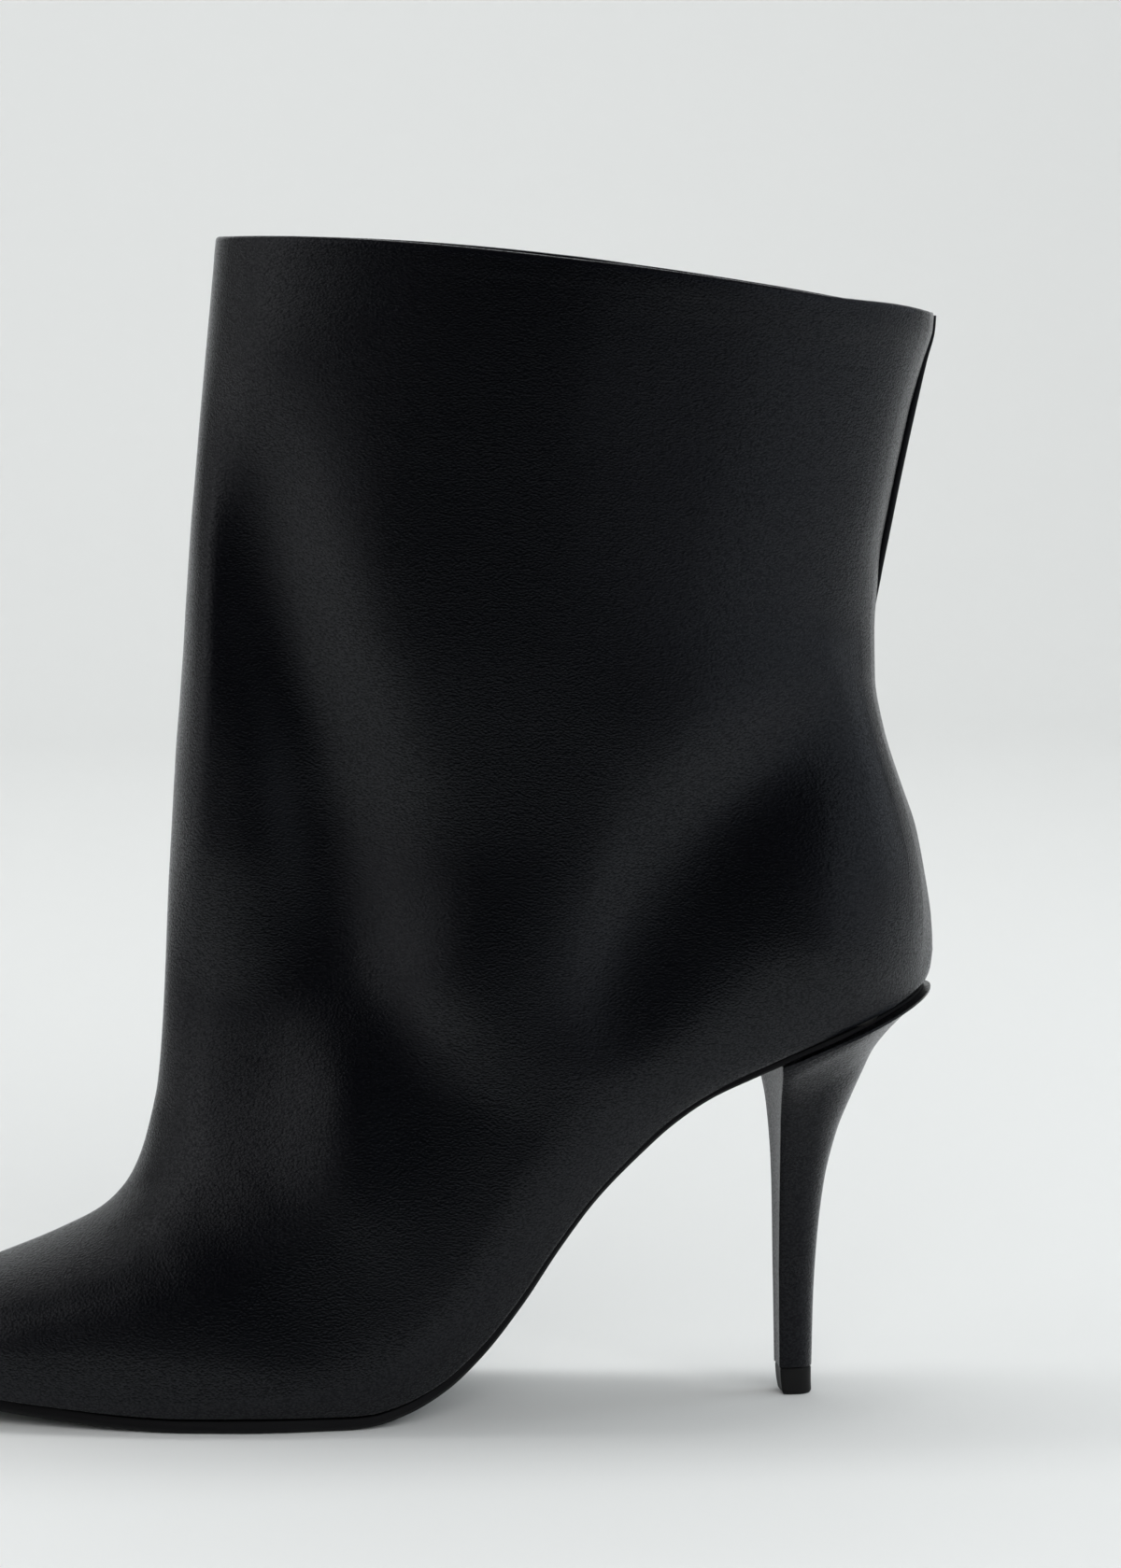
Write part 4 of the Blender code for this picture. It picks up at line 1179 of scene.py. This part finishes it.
class BOOT_OT_heel(bpy.types.Operator):
    """Builds the leather-covered heel and the lift it stands on"""
    bl_idname = "boot.heel"
    bl_label = "Heel"

    def execute(self, context):
        sizes = context.scene.boot_sizes
        colours = context.scene.boot_colours
        top = HEEL[0].front_z
        heights = top + (HEEL[-1].front_z - top) * np.linspace(0.0, 1.0, HEEL_ROWS) ** HEEL_BUNCH
        rings = [heel_ring(HEEL_TOP, True, HEEL_STEPS, HEEL_CORNER)]
        rings += [heel_ring(row, False, HEEL_STEPS, HEEL_CORNER) for row in heel_rows(HEEL, heights)]
        points, faces = loft(rings)
        marks = {"wrinkle": ease(points[:, 2], *HEEL_GATHERS) * HEEL_GATHER_SHARE,
                 "polish": np.zeros(len(points))}
        cover = leather_finish("heel_leather", colours.leather, sizes.grain, HEEL_ROUGH)
        breast = leather_finish("breast_leather", colours.leather, sizes.grain, BREAST_ROUGH)
        kinds = ([0] * (len(rings[0]) - BREAST_FACES) + [1] * BREAST_FACES) * (len(rings) - 1)
        kinds += [0] * (len(faces) - len(kinds))
        piece = new_piece("heel_cover", points, faces, (cover, breast), kinds, HEEL_SHARP, marks)
        finish_piece(piece, "heel")
        points, faces = loft([lift_ring(row) for row in heel_rows(TOP_PIECE, LIFT_HEIGHTS)])
        rubber = rubber_finish("black_rubber", colours.rubber)
        lift = new_piece("heel_lift", points, faces, (rubber,), None, SOFT_SHARP)
        finish_piece(lift, "top_piece")
        return {"FINISHED"}


# Studio

CAMERA_PLACE = (-0.09438, -1.23667, 0.25432)
CAMERA_TURN_DEG = (84.615, 0.0, -6.3)
CAMERA_LENS = 130.0
CAMERA_SENSOR = 36.0
CAMERA_NEAR = 0.01
SWEEP_FRONT = -0.34
SWEEP_DROP = 0.06
SWEEP_FLAT = 1.7
SWEEP_ROUND = 1.1
SWEEP_HIGH = 3.4
DROP_STEPS = 9
BEND_STEPS = 25
FLOOR_MIDDLE = 0.5
FLOOR_SINK = 0.0001
GROUND_LEVEL = -0.7
# Painted shade: the ground's finish is the floor's at this share of its brightness, a darker floor in front
# that the leather mirrors.
GROUND_SHADE = 0.5
GROUND_FRONT = -8.0
STUDIO_HALF = 5.0
SEEN_HALF = 1.1
# Strips of the floor: name, from x, to x, seen by the camera. The ends behind the panels only catch light.
FLOOR_STRIPS = (
    ("studio_floor", -SEEN_HALF, SEEN_HALF, True),
    ("studio_floor_left", -STUDIO_HALF, -SEEN_HALF, False),
    ("studio_floor_right", SEEN_HALF, STUDIO_HALF, False),
)
BACKDROP_RADIUS = 9.0
BACKDROP_LEVEL = 0.95
BACKDROP_CUTS = (48, 24)

# Soft panels: place, the point each one faces, width and height in metres, power in watts, and whether the
# leather mirrors it
PanelRow = namedtuple("PanelRow", "name place target wide high watts mirrored colour")
WHITE = (1.0, 1.0, 1.0)
COOL = (0.86, 0.93, 1.0)
PANELS = [PanelRow(*row) for row in (
    ("left_panel", (-1.15, 0.00, 0.55), (0.0, 0.0, 0.15), 1.1, 1.2, 2.5, True, WHITE),
    ("key_panel", (-1.25, -0.60, 0.76), (0.0, 0.0, 0.10), 1.1, 1.15, 2.7, True, WHITE),
    ("right_panel", (1.20, -0.90, 0.35), (0.0, 0.0, 0.15), 1.2, 1.6, 4.6, True, COOL),
    ("right_side", (1.25, 0.15, 0.70), (0.0, 0.0, 0.15), 0.8, 1.2, 2.9, True, COOL),
    ("top_panel", (-0.5, 0.75, 1.7), (-0.5, 0.75, 0.0), 3.0, 1.5, 7.6, True, WHITE),
    ("front_fill", (0.3, -1.6, 0.7), (0.0, 0.0, 0.0), 1.6, 1.0, 19.0, False, WHITE),
    ("over_fill", (0.3, 0.2, 2.4), (0.3, 0.2, 0.0), 3.0, 2.0, 4.5, False, WHITE),
    ("wall_fill", (0.2, 0.4, 2.9), (0.2, 2.8, 1.2), 3.0, 1.0, 66.0, False, WHITE),
    ("ground_fill", (0.0, -4.2, 2.0), (0.0, -4.2, 0.0), 4.0, 5.0, 40.0, False, WHITE),
)]
WORLD_LEVEL = 0.035
WORLD_COLOUR = (0.96, 0.98, 1.0, 1.0)


def floor_profile():
    """Distances back and heights of the floor: dropped front edge, flat, curve up and wall."""
    profile = [(SWEEP_FRONT - SWEEP_DROP, GROUND_LEVEL)]
    for a in np.linspace(0.5 * math.pi, 0.0, DROP_STEPS):
        profile.append((SWEEP_FRONT - SWEEP_DROP * math.sin(a), SWEEP_DROP * (math.cos(a) - 1.0)))
    profile += [(FLOOR_MIDDLE, 0.0), (SWEEP_FLAT, 0.0)]
    for a in np.linspace(0.0, 0.5 * math.pi, BEND_STEPS)[1:]:
        profile.append((SWEEP_FLAT + SWEEP_ROUND * math.sin(a), SWEEP_ROUND * (1.0 - math.cos(a))))
    return profile + [(SWEEP_FLAT + SWEEP_ROUND, SWEEP_HIGH)]


def floor_strip(name, left, right):
    """One strip of the curved floor, between two distances along x."""
    profile = floor_profile()
    points = [(x, y, z - FLOOR_SINK) for y, z in profile for x in (left, right)]
    faces = [(2 * i, 2 * i + 1, 2 * i + 3, 2 * i + 2) for i in range(len(profile) - 1)]
    mesh = bpy.data.meshes.new(name)
    mesh.from_pydata(points, [], faces)
    mesh.shade_smooth()
    return bpy.data.objects.new(name, mesh)


def ground_sheet():
    """Flat ground in front of the floor, which only catches light."""
    corners = [(x, y, GROUND_LEVEL) for y in (GROUND_FRONT, SWEEP_FRONT) for x in (-STUDIO_HALF, STUDIO_HALF)]
    mesh = bpy.data.meshes.new("studio_ground")
    mesh.from_pydata(corners, [], [(0, 1, 3, 2)])
    ground = bpy.data.objects.new("studio_ground", mesh)
    ground.visible_camera = False
    return ground


def backdrop_shell():
    """Pale shell all round the studio, which only the camera sees."""
    mesh = bpy.data.meshes.new("studio_backdrop")
    around, up = BACKDROP_CUTS
    shape = bmesh.new()
    bmesh.ops.create_uvsphere(shape, u_segments=around, v_segments=up, radius=BACKDROP_RADIUS)
    bmesh.ops.reverse_faces(shape, faces=shape.faces)
    shape.to_mesh(mesh)
    shape.free()
    backdrop = bpy.data.objects.new("studio_backdrop", mesh)
    backdrop.visible_diffuse = False
    backdrop.visible_glossy = False
    backdrop.visible_transmission = False
    backdrop.visible_shadow = False
    return backdrop


def soft_panel(panel):
    """A soft light that faces its target."""
    light = bpy.data.lights.new(panel.name, "AREA")
    light.shape = "RECTANGLE"
    light.size = panel.wide
    light.size_y = panel.high
    light.energy = panel.watts
    light.color = panel.colour
    lamp = bpy.data.objects.new(panel.name, light)
    way = np.array(panel.target) - np.array(panel.place)
    level = math.hypot(way[0], way[1])
    lamp.location = panel.place
    lamp.rotation_euler = (math.atan2(level, -way[2]), 0.0, math.atan2(-way[0], way[1]))
    lamp.visible_camera = False
    lamp.visible_glossy = panel.mirrored
    return lamp


def studio_air():
    """Faint, even light from all round."""
    world = bpy.data.worlds.new("studio_air")
    world.use_nodes = True
    air = world.node_tree.nodes["Background"]
    air.inputs["Color"].default_value = WORLD_COLOUR
    air.inputs["Strength"].default_value = WORLD_LEVEL
    return world


def studio_camera():
    """Camera on the boot's outer side, fitted to the view in the photo."""
    lens = bpy.data.cameras.new("camera")
    lens.lens = CAMERA_LENS
    lens.sensor_width = CAMERA_SENSOR
    lens.clip_start = CAMERA_NEAR
    camera = bpy.data.objects.new("camera", lens)
    camera.location = CAMERA_PLACE
    camera.rotation_euler = [math.radians(a) for a in CAMERA_TURN_DEG]
    return camera


class BOOT_OT_stage(bpy.types.Operator):
    """Sets up the pale floor, the soft panels and the camera"""
    bl_idname = "boot.stage"
    bl_label = "Studio"

    def execute(self, context):
        scene = context.scene
        colours = scene.boot_colours
        paper = floor_finish("pale_floor", colours.floor)
        for name, left, right, seen in FLOOR_STRIPS:
            strip = floor_strip(name, left, right)
            strip.data.materials.append(paper)
            strip.visible_camera = seen
            scene.collection.objects.link(strip)
        ground = ground_sheet()
        # Painted shade: the hidden ground is a half-bright copy of the floor's finish, mirrored in the
        # leather as a shaded floor in front.
        ground.data.materials.append(floor_finish("grey_ground", tone(colours.floor, GROUND_SHADE)))
        scene.collection.objects.link(ground)
        backdrop = backdrop_shell()
        backdrop.data.materials.append(backdrop_finish("pale_backdrop", colours.floor))
        scene.collection.objects.link(backdrop)
        for panel in PANELS:
            scene.collection.objects.link(soft_panel(panel))
        scene.world = studio_air()
        camera = studio_camera()
        scene.collection.objects.link(camera)
        scene.camera = camera
        scene.view_settings.view_transform = "Standard"
        return {"FINISHED"}


class BOOT_PT_panel(bpy.types.Panel):
    """Lists the boot's sizes, colours and pieces"""
    bl_idname = "BOOT_PT_panel"
    bl_label = "Heeled boot"
    bl_space_type = "VIEW_3D"
    bl_region_type = "UI"
    bl_category = "Boot"

    def draw(self, context):
        layout = self.layout
        for group in (context.scene.boot_sizes, context.scene.boot_colours):
            box = layout.box()
            for name in group.__annotations__:
                box.prop(group, name)
        for piece in PIECES:
            layout.operator(piece.bl_idname)


PIECES = (BOOT_OT_upper, BOOT_OT_back_seam, BOOT_OT_outsole, BOOT_OT_insole, BOOT_OT_heel, BOOT_OT_stage)
CLASSES = (BootSizes, BootColours) + PIECES + (BOOT_PT_panel,)


def register():
    for kind in CLASSES:
        bpy.utils.register_class(kind)
    bpy.types.Scene.boot_sizes = bpy.props.PointerProperty(type=BootSizes)
    bpy.types.Scene.boot_colours = bpy.props.PointerProperty(type=BootColours)


def unregister():
    del bpy.types.Scene.boot_colours
    del bpy.types.Scene.boot_sizes
    for kind in reversed(CLASSES):
        bpy.utils.unregister_class(kind)


def main():
    register()
    bpy.ops.boot.upper()
    bpy.ops.boot.back_seam()
    bpy.ops.boot.outsole()
    bpy.ops.boot.insole()
    bpy.ops.boot.heel()
    bpy.ops.boot.stage()


if __name__ == "__main__":
    main()
